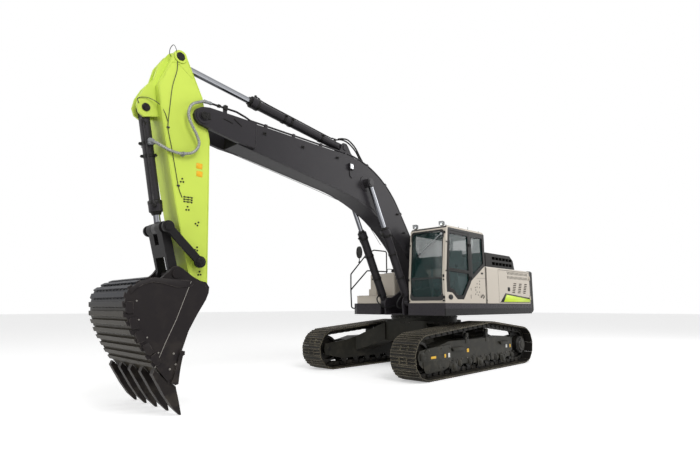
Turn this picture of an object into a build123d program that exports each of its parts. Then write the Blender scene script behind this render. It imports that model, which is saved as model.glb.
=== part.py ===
"""Crawler excavator of the 36 to 38 tonne class, as separate pieces in millimetres.

+X is forward, +Y is the cab's side and +Z is up.  The origin lies on the slewing axis at ground level.
Every piece is written to parts/ as one STEP file with the name of its node.
"""
from build123d import *
from math import acos, atan2, cos, degrees, hypot, pi, radians, sin, tan
import os

os.makedirs("parts", exist_ok=True)

# ---------------------------------------------------------------- driving dimensions
fit_gap = 0.3               # running clearance of a pin, rod or seat
side_gap = 3.0              # sideways clearance beside a pin boss
move_gap = 10.0             # clearance round a moving panel

# tracks
track_length = 5140.0
track_gauge = 2580.0
shoe_width = 600.0
shoe_plate = 12.0           # thickness of a shoe's plate
grouser_height = 28.0
grouser_tip = 16.0          # width of a grouser at its tip
grouser_foot = 30.0         # and at the plate
grouser_pitch = 66.0
pin_to_shoe = 50.0          # from a track pin's axis out to the shoe's plate
pin_to_rail = 55.0          # and in to the rail that the rollers run on
link_pitch = 212.0
rail_inner = 45.0           # sideways, from the track's middle to the rails
rail_outer = 105.0
sprocket_teeth = 21         # every second tooth carries a link
front_carrier = (480.0, 800.0)
rear_carrier = (-400.0, 860.0)
carrier_radius = 75.0
roller_radius = 88.0
roller_flange = 16.0
roller_count = 9
roller_span = 3200.0
roller_shaft = 32.0

# track frames and carbody
skirt_inner = 135.0
skirt_outer = 165.0
frame_bottom = 345.0
frame_top = 700.0
skirt_bottom = 215.0
carbody_top = 1080.0
carbody_bottom = 600.0
slew_radius = 795.0
slew_bore = 620.0

# revolving frame
deck_bottom = 1215.0
deck_top = 1477.0
deck_plate = 15.0
deck_wall = 20.0
house_side = 1412.0
house_front = 1210.0
right_front = 1110.0
house_rear = -3040.0
front_corner = 200.0
bay_side = 445.0            # half the width of the boom's bay between the two platforms
bay_rear = -130.0
bracket_inner = 240.0
bracket_outer = 280.0
tail_radius = 3500.0
panel_top = 2353.0
housing_front = -600.0
panel_wall = 30.0
counterweight_bottom = 1250.0
counterweight_top = 2365.0

# cab
cab_inner = 475.0
cab_outer = 1410.0
cab_wall = 55.0
cab_rear = -540.0
cab_roof = 3142.0
cab_roof_front = 1060.0
door_rear = 150.0
door_front = 1075.0
door_bottom = 1566.0
door_top = 3045.0
door_thickness = 45.0
glass_thickness = 8.0

# pins of the front linkage, seen from the side: (x, z)
boom_foot = (250.0, 1950.0)
boom_tip = (6220.0, 4380.0)
boom_cyl_foot = (1070.0, 1500.0)
boom_cyl_head = (2360.0, 4030.0)
arm_cyl_foot = (2870.0, 4740.0)
arm_cyl_head = (6620.0, 5245.0)
bucket_cyl_foot = (7045.0, 4320.0)
link_top = (6700.0, 2550.0)
link_arm = (6180.0, 2070.0)
bucket_pin = (6110.0, 1660.0)
bucket_link = (6520.0, 1880.0)

# boom, arm and bucket
boom_half = 225.0
boom_wall = 16.0
boom_foot_radius = 165.0
boom_tip_radius = 165.0
fork_inner = 228.0
fork_outer = 290.0
arm_half = 222.0
arm_wall = 16.0
pin_radius = 52.0
small_pin_radius = 42.0
boom_cyl_side = 340.0
cyl_eye_half = 62.0
boom_eye_half = 50.0
bucket_half = 775.0
bucket_plate = 25.0
ear_inner = 228.0
ear_outer = 288.0
guide_inner = 300.0
guide_outer = 345.0
power_half = 222.0
tooth_count = 5

# cylinders: radius of tube, head and rod, half width of the eyes, and along the cylinder from its foot pin
# the start of the tube, the gland and the rod's inner end
#            tube   head   rod   eye   start  gland   inner end
cylinder_sizes = {
    "boom": (90.0, 104.0, 52.0, 50.0, 175.0, 1762.0, 1080.0),
    "arm": (86.0, 106.0, 56.0, 62.0, 165.0, 2330.0, 1640.0),
    "bucket": (80.0, 100.0, 50.0, 62.0, 165.0, 1545.0, 265.0),
}
head_length = 150.0
neck_half = 60.0


# ---------------------------------------------------------------- small builders
def side_plate(points, y_low, y_high, mode=Mode.ADD, rounding=0.0):
    """A plate cut to an outline seen from the side, between two y planes."""
    with BuildSketch(Plane.XZ.offset(-y_low)) as outline:
        with BuildLine():
            if rounding:
                FilletPolyline(*points, radius=rounding, close=True)
            else:
                Polyline(*points, close=True)
        make_face()
    extrude(outline.sketch, amount=y_low - y_high, mode=mode)


def plan_plate(points, z_low, z_high, mode=Mode.ADD):
    """A plate cut to an outline seen from above, between two heights."""
    with BuildSketch(Plane.XY.offset(z_low)) as outline:
        with BuildLine():
            Polyline(*points, close=True)
        make_face()
    extrude(outline.sketch, amount=z_high - z_low, mode=mode)


def cross_round(centre, radius, y_low, y_high, mode=Mode.ADD):
    """A round bar or hole along Y at a point given as (x, z)."""
    with BuildSketch(Plane.XZ.offset(-y_low)) as outline:
        with Locations(centre):
            Circle(radius)
    extrude(outline.sketch, amount=y_low - y_high, mode=mode)


def block(x_range, y_range, z_range, mode=Mode.ADD):
    """A rectangular plate or block between three pairs of planes."""
    with BuildSketch(Plane.XY.offset(z_range[0])) as outline:
        with Locations(((x_range[0] + x_range[1]) / 2, (y_range[0] + y_range[1]) / 2)):
            Rectangle(x_range[1] - x_range[0], y_range[1] - y_range[0])
    extrude(outline.sketch, amount=z_range[1] - z_range[0], mode=mode)


def between(start, end, distance):
    """The point at a distance from start on the line to end."""
    length = hypot(end[0] - start[0], end[1] - start[1])
    share = distance / length
    return (start[0] + (end[0] - start[0]) * share, start[1] + (end[1] - start[1]) * share)


def save(builder, name):
    """Give a finished piece its label and write it."""
    builder.part.label = name
    export_step(builder.part, "parts/" + name + ".step")


# ---------------------------------------------------------------- tracks
wheel_radius = link_pitch / 2 / sin(2 * pi / sprocket_teeth)
sole = pin_to_shoe + shoe_plate + grouser_height
wheel_height = wheel_radius + sole
wheel_reach = track_length / 2 - wheel_height
rail_height = sole + pin_to_rail
belt_wheels = [
    # x, z, radius of the line of pins
    (wheel_reach, wheel_height, wheel_radius),
    (front_carrier[0], front_carrier[1], carrier_radius + pin_to_rail),
    (rear_carrier[0], rear_carrier[1], carrier_radius + pin_to_rail),
    (-wheel_reach, wheel_height, wheel_radius),
]


def belt_pieces(wheels):
    """Straight runs and arcs of a belt round the wheels, anticlockwise, from the first wheel's arc."""
    count = len(wheels)
    headings = []
    for i in range(count):
        x1, z1, r1 = wheels[i]
        x2, z2, r2 = wheels[(i + 1) % count]
        span = hypot(x2 - x1, z2 - z1)
        headings.append(atan2(z2 - z1, x2 - x1) - acos((r1 - r2) / span))
    pieces = []
    for i in range(count):
        x, z, r = wheels[i]
        turn = (headings[i] - headings[i - 1]) % (2 * pi)
        pieces.append(("arc", (x, z), r, headings[i - 1], turn))
        x2, z2, r2 = wheels[(i + 1) % count]
        normal = (cos(headings[i]), sin(headings[i]))
        start = (x + r * normal[0], z + r * normal[1])
        end = (x2 + r2 * normal[0], z2 + r2 * normal[1])
        pieces.append(("run", start, end))
    return pieces


def piece_length(piece):
    if piece[0] == "arc":
        return piece[2] * piece[4]
    return hypot(piece[2][0] - piece[1][0], piece[2][1] - piece[1][1])


def belt_point(pieces, distance):
    """The point of the belt at a distance along it."""
    for piece in pieces:
        length = piece_length(piece)
        if distance <= length:
            if piece[0] == "run":
                return between(piece[1], piece[2], distance)
            angle = piece[3] + distance / piece[2]
            return (piece[1][0] + piece[2] * cos(angle), piece[1][1] + piece[2] * sin(angle))
        distance -= length
    return belt_point(pieces, 0.0)


belt = belt_pieces(belt_wheels)
belt_length = sum(piece_length(piece) for piece in belt)
shoe_count = round(belt_length / link_pitch)
track_pins = [belt_point(belt, belt_length * i / shoe_count) for i in range(shoe_count)]


def shoe_outline():
    """Outer outline of the whole loop: three grousers a shoe and the notch between two shoes."""
    profile = []
    for centre in (-grouser_pitch, 0.0, grouser_pitch):
        profile.append((centre - grouser_foot / 2, 0.0))
        profile.append((centre - grouser_tip / 2, grouser_height))
        profile.append((centre + grouser_tip / 2, grouser_height))
        profile.append((centre + grouser_foot / 2, 0.0))
    profile = profile[1:-1]
    points = []
    for i in range(shoe_count):
        a, b = track_pins[i], track_pins[(i + 1) % shoe_count]
        chord = hypot(b[0] - a[0], b[1] - a[1])
        along = ((b[0] - a[0]) / chord, (b[1] - a[1]) / chord)
        out = (along[1], -along[0])
        notch = pin_to_shoe + shoe_plate / 2
        points.append((a[0] + out[0] * notch, a[1] + out[1] * notch))
        for u, rise in profile:
            height = pin_to_shoe + shoe_plate + rise
            u += chord / 2
            points.append((a[0] + along[0] * u + out[0] * height, a[1] + along[1] * u + out[1] * height))
    return points


def inner_outline(offset):
    """Outline at an offset from the line of pins, with a corner at each pin where the belt turns."""
    points = []
    for i in range(shoe_count):
        a, b, c = track_pins[i - 1], track_pins[i], track_pins[(i + 1) % shoe_count]
        before = atan2(b[1] - a[1], b[0] - a[0])
        turn = (atan2(c[1] - b[1], c[0] - b[0]) - before + pi) % (2 * pi) - pi
        if abs(turn) < 0.002:
            continue
        middle = before + turn / 2 - pi / 2
        reach = offset / cos(turn / 2)
        points.append((b[0] + reach * cos(middle), b[1] + reach * sin(middle)))
    return points


for side, name in ((1, "left"), (-1, "right")):
    middle = side * track_gauge / 2
    with BuildPart() as track:
        with BuildSketch(Plane.XZ.offset(shoe_width / 2 - middle)):
            with BuildLine():
                Polyline(*shoe_outline(), close=True)
            make_face()
            with BuildLine():
                Polyline(*inner_outline(pin_to_shoe), close=True)
            make_face(mode=Mode.SUBTRACT)
        extrude(amount=-shoe_width)
        for y_low in (middle - rail_outer, middle + rail_inner):
            with BuildSketch(Plane.XZ.offset(-y_low)):
                with BuildLine():
                    Polyline(*inner_outline(pin_to_shoe), close=True)
                make_face()
                with BuildLine():
                    Polyline(*inner_outline(-pin_to_rail), close=True)
                make_face(mode=Mode.SUBTRACT)
            extrude(amount=rail_inner - rail_outer)
    save(track, "track_" + name)

# ---------------------------------------------------------------- idlers, sprockets and rollers
step = 2 * pi / sprocket_teeth * 2
tread = wheel_radius * cos(step / 2) - pin_to_rail - fit_gap
idler_hub = 120.0
idler_web = 35.0
axle_radius = 55.0
for side, name in ((1, "left"), (-1, "right")):
    middle = side * track_gauge / 2
    with BuildPart() as idler:
        with BuildSketch(Plane.YZ):
            with BuildLine():
                Polyline(
                    (-rail_outer, tread - 45), (-rail_outer, tread), (-rail_inner, tread),
                    (-rail_inner + 6, tread + 18), (rail_inner - 6, tread + 18), (rail_inner, tread),
                    (rail_outer, tread), (rail_outer, tread - 45), (idler_web, tread - 60),
                    (idler_web, idler_hub), (rail_outer, idler_hub - 20), (rail_outer, axle_radius),
                    (skirt_outer - fit_gap, axle_radius), (skirt_outer - fit_gap, 0),
                    (-skirt_outer + fit_gap, 0), (-skirt_outer + fit_gap, axle_radius),
                    (-rail_outer, axle_radius), (-rail_outer, idler_hub - 20),
                    (-idler_web, idler_hub), (-idler_web, tread - 60), close=True)
            make_face()
        revolve(axis=Axis.Y)
    idler.part.locate(Location((wheel_reach, middle, wheel_height)))
    save(idler, "idler_" + name)

drum_radius = 215.0
cover_radius = 165.0
tooth_depth = 48.0
for side, name in ((1, "left"), (-1, "right")):
    middle = side * track_gauge / 2
    with BuildPart() as sprocket:
        root = wheel_radius - tooth_depth / 2
        with BuildSketch(Plane.XZ.offset(25)):
            Circle(root)
            with PolarLocations(0, sprocket_teeth):
                with Locations((root - 5, 0)):
                    Trapezoid(tooth_depth + 12, tooth_depth, 68, rotation=-90,
                              align=(Align.CENTER, Align.MIN))
        extrude(amount=-50)
        with BuildSketch(Plane.YZ):
            with BuildLine():
                Polyline((-60, 0), (-60, drum_radius), (150, drum_radius), (175, drum_radius - 20),
                         (175, cover_radius), (205, cover_radius - 15), (205, 0), close=True)
            make_face()
        revolve(axis=Axis.Y)
        with BuildSketch(Plane.XZ.offset(-205)):
            with PolarLocations(cover_radius - 50, 6):
                Circle(12)
        extrude(amount=-6)
    if side < 0:
        sprocket.part = mirror(sprocket.part, about=Plane.XZ, mode=Mode.PRIVATE)
    sprocket.part.locate(Location((-wheel_reach, middle, wheel_height)))
    save(sprocket, "sprocket_" + name)

roller_z = rail_height + fit_gap + roller_radius
roller_step = roller_span / (roller_count - 1)
for side, name in ((1, "left"), (-1, "right")):
    middle = side * track_gauge / 2
    with BuildPart() as rollers:
        with BuildSketch(Plane.YZ):
            with BuildLine():
                Polyline(
                    (-skirt_inner + fit_gap, 0), (-skirt_inner + fit_gap, roller_shaft),
                    (-rail_outer - 22, roller_shaft), (-rail_outer - 22, roller_radius + roller_flange),
                    (-rail_outer - 6, roller_radius + roller_flange), (-rail_outer - 4, roller_radius),
                    (-rail_inner, roller_radius), (-rail_inner, roller_radius - 18),
                    (rail_inner, roller_radius - 18), (rail_inner, roller_radius),
                    (rail_outer + 4, roller_radius), (rail_outer + 6, roller_radius + roller_flange),
                    (rail_outer + 22, roller_radius + roller_flange), (rail_outer + 22, roller_shaft),
                    (skirt_inner - fit_gap, roller_shaft), (skirt_inner - fit_gap, 0), close=True)
            make_face()
        revolve(axis=Axis.Y)
    one = rollers.part
    with BuildPart() as roller_row:
        for i in range(roller_count):
            x = -roller_span / 2 + i * roller_step
            add(Pos(x, middle, roller_z) * one)
    save(roller_row, "lower_rollers_" + name)


def rail_reach(centre):
    """Distance from a point inside the loop to the nearest stretch of rail."""
    reach = wheel_reach
    for i in range(shoe_count):
        a, b = track_pins[i - 1], track_pins[i]
        chord = hypot(b[0] - a[0], b[1] - a[1])
        along = ((centre[0] - a[0]) * (b[0] - a[0]) + (centre[1] - a[1]) * (b[1] - a[1])) / chord
        if 0 <= along <= chord:
            across = abs((centre[0] - a[0]) * (b[1] - a[1]) - (centre[1] - a[1]) * (b[0] - a[0])) / chord
            reach = min(reach, across - pin_to_rail)
    return reach


carrier_post = 46.0
for side, name in ((1, "left"), (-1, "right")):
    middle = side * track_gauge / 2
    with BuildPart() as carriers:
        for x, z in (front_carrier, rear_carrier):
            cross_round((x, z), rail_reach((x, z)) - fit_gap, middle - rail_outer, middle + rail_outer)
            cross_round((x, z), carrier_post, middle + rail_outer, middle + skirt_outer)
            side_plate([(x - 60, frame_top + fit_gap), (x + 60, frame_top + fit_gap), (x + carrier_post, z),
                        (x + carrier_post * 0.7, z + carrier_post * 0.7), (x - carrier_post * 0.7,
                        z + carrier_post * 0.7), (x - carrier_post, z)],
                       middle + rail_outer + 10, middle + skirt_outer)
    if side < 0:
        carriers.part = mirror(carriers.part, about=Plane.XZ.offset(-middle), mode=Mode.PRIVATE)
    save(carriers, "carrier_rollers_" + name)

# ---------------------------------------------------------------- track frames and carbody
frame_half = skirt_outer
frame_front = 1560.0
frame_rear = -1640.0
yoke_height = 120.0
motor_radius = 190.0
motor_reach = 250.0
for side, name in ((1, "left"), (-1, "right")):
    middle = side * track_gauge / 2
    inward = middle - side * motor_reach
    with BuildPart() as track_frame:
        side_plate([(frame_front, frame_bottom), (frame_front, frame_top - 70),
                    (frame_front - 350, frame_top), (frame_rear + 350, frame_top),
                    (frame_rear, frame_top - 60), (frame_rear, frame_bottom)],
                   middle - frame_half, middle + frame_half)
        # skirts that hold the rollers' shafts, and the arms that hold the idler's axle
        for y_low in (middle - skirt_outer, middle + skirt_inner):
            side_plate([(frame_rear + 80, frame_bottom + 5), (frame_rear + 150, skirt_bottom),
                        (frame_front + 120, skirt_bottom), (wheel_reach + 120, wheel_height - yoke_height),
                        (wheel_reach + 160, wheel_height), (wheel_reach + 120, wheel_height + yoke_height),
                        (frame_front, frame_top - 70), (frame_front - 60, frame_bottom + 5)],
                       y_low, y_low + skirt_outer - skirt_inner)
            cross_round((wheel_reach, wheel_height), axle_radius + fit_gap, y_low - 5,
                        y_low + skirt_outer - skirt_inner + 5, mode=Mode.SUBTRACT)
        # guard plate over the idler's arm, on the outer side
        guard_low, guard_high = sorted((middle + side * skirt_outer, middle + side * (skirt_outer + 12)))
        side_plate([(frame_front - 330, frame_bottom - 60), (wheel_reach + 20, skirt_bottom + 25),
                    (wheel_reach + 140, wheel_height - yoke_height), (wheel_reach + 140, wheel_height - 65),
                    (wheel_reach - 60, wheel_height - 65), (wheel_reach - 60, wheel_height + 65),
                    (wheel_reach + 140, wheel_height + 65), (wheel_reach + 105, wheel_height + yoke_height),
                    (frame_front - 40, frame_top - 85), (frame_front - 330, frame_top - 45)],
                   guard_low, guard_high)
        # three chain guides between the rollers
        for x in (-2, 0, 2):
            x = (x + 0.5) * roller_step
            side_plate([(x - 75, frame_bottom + 10), (x - 60, skirt_bottom - 20), (x + 60,
                                                                                   skirt_bottom - 20),
                        (x + 75, frame_bottom + 10)], guard_low, guard_high)
        # cheek behind the sprocket, with the travel motor in it
        plate_low, plate_high = sorted((middle - side * 115, middle - side * frame_half))
        side_plate([(frame_rear + 20, frame_bottom + 15), (frame_rear + 20, frame_top - 60),
                    (-wheel_reach, wheel_height + motor_radius + 40),
                    (-wheel_reach - 150, wheel_height + 130), (-wheel_reach - 210, wheel_height),
                    (-wheel_reach - 150, wheel_height - 130),
                    (-wheel_reach, wheel_height - motor_radius - 40)], plate_low, plate_high)
        motor_low, motor_high = sorted((middle - side * (60 + fit_gap), inward))
        cross_round((-wheel_reach, wheel_height), motor_radius, motor_low, motor_high)
    save(track_frame, "track_frame_" + name)

drum_depth = 100.0
drum_flange = 18.0
with BuildPart() as carbody:
    with BuildSketch(Plane.XY.offset(carbody_bottom)):
        RectangleRounded(1560, 1240, 120)
    extrude(amount=carbody_top - carbody_bottom)
    with BuildSketch(Plane.XY.offset(carbody_bottom)):
        RectangleRounded(1440, 1120, 80)
    extrude(amount=carbody_top - carbody_bottom - 25, mode=Mode.SUBTRACT)
    for end in (1, -1):
        for side in (1, -1):
            root_plane = Plane(origin=(end * 560, side * 600, 820), x_dir=(1, 0, 0), z_dir=(0, side, 0))
            tip_plane = Plane(origin=(end * 860, side * (track_gauge / 2 - frame_half), 530), x_dir=(1,
                                                                                                     0, 0),
                              z_dir=(0, side, 0))
            with BuildSketch(root_plane):
                Rectangle(430, 420)
            with BuildSketch(tip_plane):
                Rectangle(760, 330)
            loft()
    # round tower under the slewing ring
    with BuildSketch(Plane.XY.offset(carbody_top - drum_depth)):
        Circle(slew_radius)
        Circle(slew_bore, mode=Mode.SUBTRACT)
    extrude(amount=drum_depth + drum_flange)
save(carbody, "carbody")

with BuildPart() as slew_ring:
    ring_low = carbody_top + drum_flange
    with BuildSketch(Plane.XY.offset(ring_low)):
        Circle(slew_radius)
        Circle(slew_bore, mode=Mode.SUBTRACT)
    extrude(amount=deck_bottom - fit_gap - ring_low)
    # groove between the ring's two races
    with BuildSketch(Plane.XY.offset((ring_low + deck_bottom) / 2 - 8)):
        Circle(slew_radius + 5)
        Circle(slew_radius - 12, mode=Mode.SUBTRACT)
    extrude(amount=16, mode=Mode.SUBTRACT)
save(slew_ring, "slew_ring")

# ---------------------------------------------------------------- revolving frame
deck_outline = [
    (house_rear, house_side), (house_front, house_side), (house_front, bay_side),
    (bay_rear, bay_side), (bay_rear, -bay_side), (right_front, -bay_side),
    (right_front, -house_side + front_corner),
    (right_front - front_corner * 0.3, -house_side + front_corner * 0.3),
    (right_front - front_corner, -house_side), (house_rear, -house_side),
]
nose = (boom_cyl_foot[0], boom_cyl_foot[1])
with BuildPart() as deck_frame:
    plan_plate(deck_outline, deck_bottom, deck_top)
    with BuildSketch(Plane.XY.offset(deck_bottom)):
        with BuildLine():
            Polyline(*deck_outline, close=True)
        make_face()
        offset(amount=-deck_wall, kind=Kind.INTERSECTION, mode=Mode.REPLACE)
    extrude(amount=deck_top - deck_plate - deck_bottom, mode=Mode.SUBTRACT)
    # the two main members under the brackets, and the floor between them
    for y_low in (-bracket_outer, bracket_inner):
        side_plate([(house_rear + deck_wall, deck_bottom), (house_front - 60, deck_bottom),
                    (nose[0] + 115, nose[1] - 40), (nose[0] + 80, nose[1] + 85), (nose[0], nose[1] + 112),
                    (nose[0] - 150, nose[1] + 112), (boom_foot[0] + 215, boom_foot[1] - 110),
                    (boom_foot[0] + 130, boom_foot[1] + 90),
                    (boom_foot[0], boom_foot[1] + 160), (boom_foot[0] - 130, boom_foot[1] + 90),
                    (-330, 1620), (housing_front + 2 * move_gap, deck_top - 5),
                    (house_rear + deck_wall, deck_top - 5)],
                   y_low, y_low + bracket_outer - bracket_inner)
    block((house_rear + deck_wall, right_front - 60), (-bracket_inner, bracket_inner),
          (deck_bottom, deck_bottom + 30))
    for x in (-2500, -2000, -1500, -900, -450, 500, 850):
        for y_range in ((bracket_outer, house_side - deck_wall), (-house_side + deck_wall, -bracket_outer)):
            block((x, x + 16), y_range, (deck_bottom + 60, deck_top - deck_plate))
    with BuildSketch(Plane.XY.offset(deck_bottom)):
        Circle(slew_radius)
        Circle(slew_bore, mode=Mode.SUBTRACT)
    extrude(amount=30)
    cross_round(boom_foot, pin_radius + fit_gap, -bracket_outer - 5, bracket_outer + 5, mode=Mode.SUBTRACT)
    cross_round(boom_cyl_foot, pin_radius + fit_gap, -bracket_outer - 5, bracket_outer + 5,
                mode=Mode.SUBTRACT)
save(deck_frame, "deck_frame")

with BuildPart() as house_pins:
    cross_round(boom_foot, pin_radius, -bracket_outer - 12, bracket_outer + 12)
    cross_round(boom_foot, pin_radius + 22, bracket_outer, bracket_outer + 14)
    cross_round(boom_foot, pin_radius + 22, -bracket_outer - 14, -bracket_outer)
    eye_end = boom_cyl_side + boom_eye_half + side_gap
    for side in (1, -1):
        low, high = sorted((side * bracket_inner, side * (eye_end + 12)))
        cross_round(boom_cyl_foot, pin_radius, low, high)
        low, high = sorted((side * eye_end, side * (eye_end + 14)))
        cross_round(boom_cyl_foot, pin_radius + 22, low, high)
save(house_pins, "house_pins")

with BuildPart() as counterweight:
    back = house_rear - fit_gap
    half = house_side
    edge = -(tail_radius ** 2 - half ** 2) ** 0.5
    with BuildSketch(Plane.XY.offset(counterweight_bottom)):
        with BuildLine():
            Polyline((edge, half), (back, half), (back, -half), (edge, -half))
            ThreePointArc((edge, -half), (-tail_radius, 0), (edge, half))
        make_face()
    extrude(amount=counterweight_top - counterweight_bottom)
    lower = counterweight.edges().filter_by(Axis.Z, reverse=True).group_by(Axis.Z)[0].sort_by(Axis.X)[0]
    chamfer(lower, 90)
    upper = counterweight.edges().filter_by(Axis.Z, reverse=True).group_by(Axis.Z)[-1].sort_by(Axis.X)[0]
    fillet(upper, 60)
    corners = counterweight.edges().filter_by(Axis.Z).sort_by(Axis.X)[:2]
    fillet(corners, 70)
    # lifting eyes, bored crosswise through two lugs on the top
    for y in (-620, 620):
        side_plate([(back - 330, counterweight_top), (back - 110, counterweight_top),
                    (back - 160, counterweight_top + 130), (back - 280, counterweight_top + 130)],
                   y - 25, y + 25)
        cross_round((back - 220, counterweight_top + 70), 35, y - 30, y + 30, mode=Mode.SUBTRACT)
save(counterweight, "counterweight")

# ---------------------------------------------------------------- engine house
left_door_x = (-2960.0, -1190.0)
right_door_x = (-2960.0, -1190.0)
side_door_z = (1510.0, 2300.0)
hood_x = (-2900.0, -1260.0)
hood_half = 1050.0
hood_height = 415.0
housing_bottom = deck_top + fit_gap
hinge_radius = 14.0
hinge_half = 40.0
hinge_heights = (side_door_z[0] + 130, side_door_z[1] - 130)
with BuildPart() as engine_house:
    block((house_rear, housing_front), (-house_side, house_side), (housing_bottom, panel_top))
    top_edges = engine_house.edges().filter_by(Axis.X).group_by(Axis.Z)[-1]
    fillet(top_edges, 55)
    block((house_rear + panel_wall, housing_front - panel_wall), (-house_side + panel_wall,
                                                                  house_side - panel_wall),
          (housing_bottom - 10, panel_top - panel_wall), mode=Mode.SUBTRACT)
    block((left_door_x[0] - move_gap, left_door_x[1] + move_gap), (house_side - panel_wall - 5,
                                                                   house_side + 5),
          (side_door_z[0] - move_gap, side_door_z[1] + move_gap), mode=Mode.SUBTRACT)
    block((right_door_x[0] - move_gap, right_door_x[1] + move_gap), (-house_side - 5,
                                                                     -house_side + panel_wall + 5),
          (side_door_z[0] - move_gap, side_door_z[1] + move_gap), mode=Mode.SUBTRACT)
    block((hood_x[0] + 60, hood_x[1] - 60), (-hood_half + 60, hood_half - 60),
          (panel_top - panel_wall - 5, panel_top + 5), mode=Mode.SUBTRACT)
    # fixed knuckles of the side doors' hinges, just below the doors' own
    for side in (1, -1):
        for z in hinge_heights:
            with BuildSketch(Plane.XY.offset(z - hinge_half - fit_gap)):
                with Locations((left_door_x[0] + 2, side * (house_side + hinge_radius))):
                    Circle(hinge_radius)
                with Locations((left_door_x[0] - 4, side * (house_side + hinge_radius / 2 + fit_gap / 2))):
                    Rectangle(12, hinge_radius - fit_gap)
                with Locations((left_door_x[0] - 25, side * (house_side + hinge_radius / 2 - 5))):
                    Rectangle(30, hinge_radius + 10)
            extrude(amount=-30)
save(engine_house, "engine_house")

door_slot_rows = [(2208.0, 2278.0), (2098.0, 2168.0)]
door_slot_front = -1640.0
door_slot_pitch = 76.0
door_slot_count = 16
louvre_stacks = [(-1990.0, -2085.0), (-2307.0, -2412.0), (-2625.0, -2738.0)]
louvre_bottom = 1745.0
louvre_pitch = 46.0
louvre_count = 6
for side, name in ((1, "left"), (-1, "right")):
    x_range = left_door_x if side > 0 else right_door_x
    with BuildPart() as side_door:
        low, high = sorted((side * (house_side - panel_wall), side * house_side))
        block(x_range, (low, high), side_door_z)
        for z in hinge_heights:
            with BuildSketch(Plane.XY.offset(z - hinge_half)):
                with Locations((x_range[0] + 2, side * (house_side + hinge_radius))):
                    Circle(hinge_radius)
                with Locations((x_range[0] + hinge_radius, side * (house_side + hinge_radius / 2 - 2))):
                    Rectangle(2 * hinge_radius, hinge_radius + 4)
            extrude(amount=2 * hinge_half)
        # two rows of leaning air slots under the door's top edge
        for low_z, high_z in door_slot_rows:
            for i in range(door_slot_count):
                x = door_slot_front - (i + 0.5) * door_slot_pitch
                side_plate([(x - 38, low_z), (x - 8, low_z), (x + 22, high_z), (x - 8, high_z)],
                           low - 5, high + 5, mode=Mode.SUBTRACT)
        # three leaning stacks of louvres
        for foot_x, top_x in louvre_stacks:
            for i in range(louvre_count):
                x = foot_x + (top_x - foot_x) * i / (louvre_count - 1)
                z = louvre_bottom + i * louvre_pitch
                side_plate([(x - 78, z), (x + 82, z), (x + 76, z + 20), (x - 84, z + 20)],
                           low - 5, high + 5, mode=Mode.SUBTRACT)
    save(side_door, "service_door_" + name)

hood_knuckle = 12.0
hood_hinge = (hood_x[1] + hood_knuckle, panel_top + 2 * fit_gap + hood_knuckle)
hood_slots = 6
hood_slot_pitch = 192.0
with BuildPart() as hood:
    seat_z = panel_top + fit_gap
    front, rear, top = hood_x[1], hood_x[0], panel_top + hood_height
    hood_outline = [(front, seat_z), (front, top), (rear + 290, top), (rear + 95, top - 115), (rear,
                                                                                               seat_z)]
    side_plate(hood_outline, -hood_half, hood_half)
    hood_inside = [(front - panel_wall, seat_z - 5), (front - panel_wall, top - panel_wall),
                   (rear + 300, top - panel_wall), (rear + 125, top - 132), (rear + 35, seat_z - 5)]
    side_plate(hood_inside, -hood_half + panel_wall, hood_half - panel_wall, mode=Mode.SUBTRACT)
    # two rows of air openings through both sides
    for low_z, high_z in ((2468.0, 2546.0), (2606.0, 2682.0)):
        for i in range(hood_slots):
            x = front - 340 - i * hood_slot_pitch
            side_plate([(x - hood_slot_pitch + 26, low_z), (x, low_z), (x, high_z),
                        (x - hood_slot_pitch + 26, high_z)], -hood_half - 5, hood_half + 5,
                       mode=Mode.SUBTRACT)
    # hinge knuckles along the front edge
    for y in (-600, 600):
        cross_round(hood_hinge, hood_knuckle, y - 80, y + 80)
        block((front - 5, hood_hinge[0]), (y - 80, y + 80), (seat_z + 4, hood_hinge[1] + hood_knuckle))
save(hood, "hood")

with BuildPart() as engine_block:
    block((-2450, -1350), (-420, 420), (deck_top + fit_gap, 2250))
save(engine_block, "engine_block")

with BuildPart() as exhaust:
    with BuildSketch(Plane.XY.offset(panel_top + fit_gap)):
        with Locations((-2080, -1210)):
            Circle(62)
            Circle(54, mode=Mode.SUBTRACT)
    extrude(amount=330)
save(exhaust, "exhaust")

# ---------------------------------------------------------------- cab
cab_floor = deck_top + fit_gap
cab_outline = [
    (cab_rear, cab_floor), (house_front - 5, cab_floor), (house_front + 8, cab_floor + 520),
    (cab_roof_front + 50, cab_roof - 70), (cab_roof_front - 20, cab_roof), (cab_rear + 60, cab_roof),
    (cab_rear, cab_roof - 60),
]
cab_inside = [
    (cab_rear + cab_wall, cab_floor + 60), (house_front - cab_wall, cab_floor + 60),
    (house_front - cab_wall, cab_floor + 500), (cab_roof_front - 20, cab_roof - cab_wall - 40),
    (cab_roof_front - 70, cab_roof - cab_wall), (cab_rear + cab_wall, cab_roof - cab_wall),
]
front_window = [(cab_inner + 45, 1600.0), (cab_outer - 60, 1600.0), (cab_outer - 60, 3040.0),
                (cab_inner + 45, 3040.0)]
rear_side_window = [(-455.0, 2400.0), (-240.0, 2270.0), (40.0, 2110.0), (75.0, 2985.0), (-440.0, 2995.0)]
right_window = [(-400.0, 2000.0), (1040.0, 1760.0), (985.0, 3000.0), (-400.0, 3010.0)]
rear_window = [(cab_inner + 90, 2420.0), (cab_outer - 90, 2420.0), (cab_outer - 90, 3020.0),
               (cab_inner + 90, 3020.0)]
roof_window = [(380.0, cab_inner + 150), (900.0, cab_inner + 150), (900.0, cab_outer - 150),
               (380.0, cab_outer - 150)]
door_outline = [(door_rear, 1925.0), (462.0, door_bottom), (722.0, door_bottom), (920.0, door_bottom + 138),
                (door_front, door_bottom + 150), (door_front + 12, 2100.0), (door_front - 75, door_top),
                (door_rear, door_top)]


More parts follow.
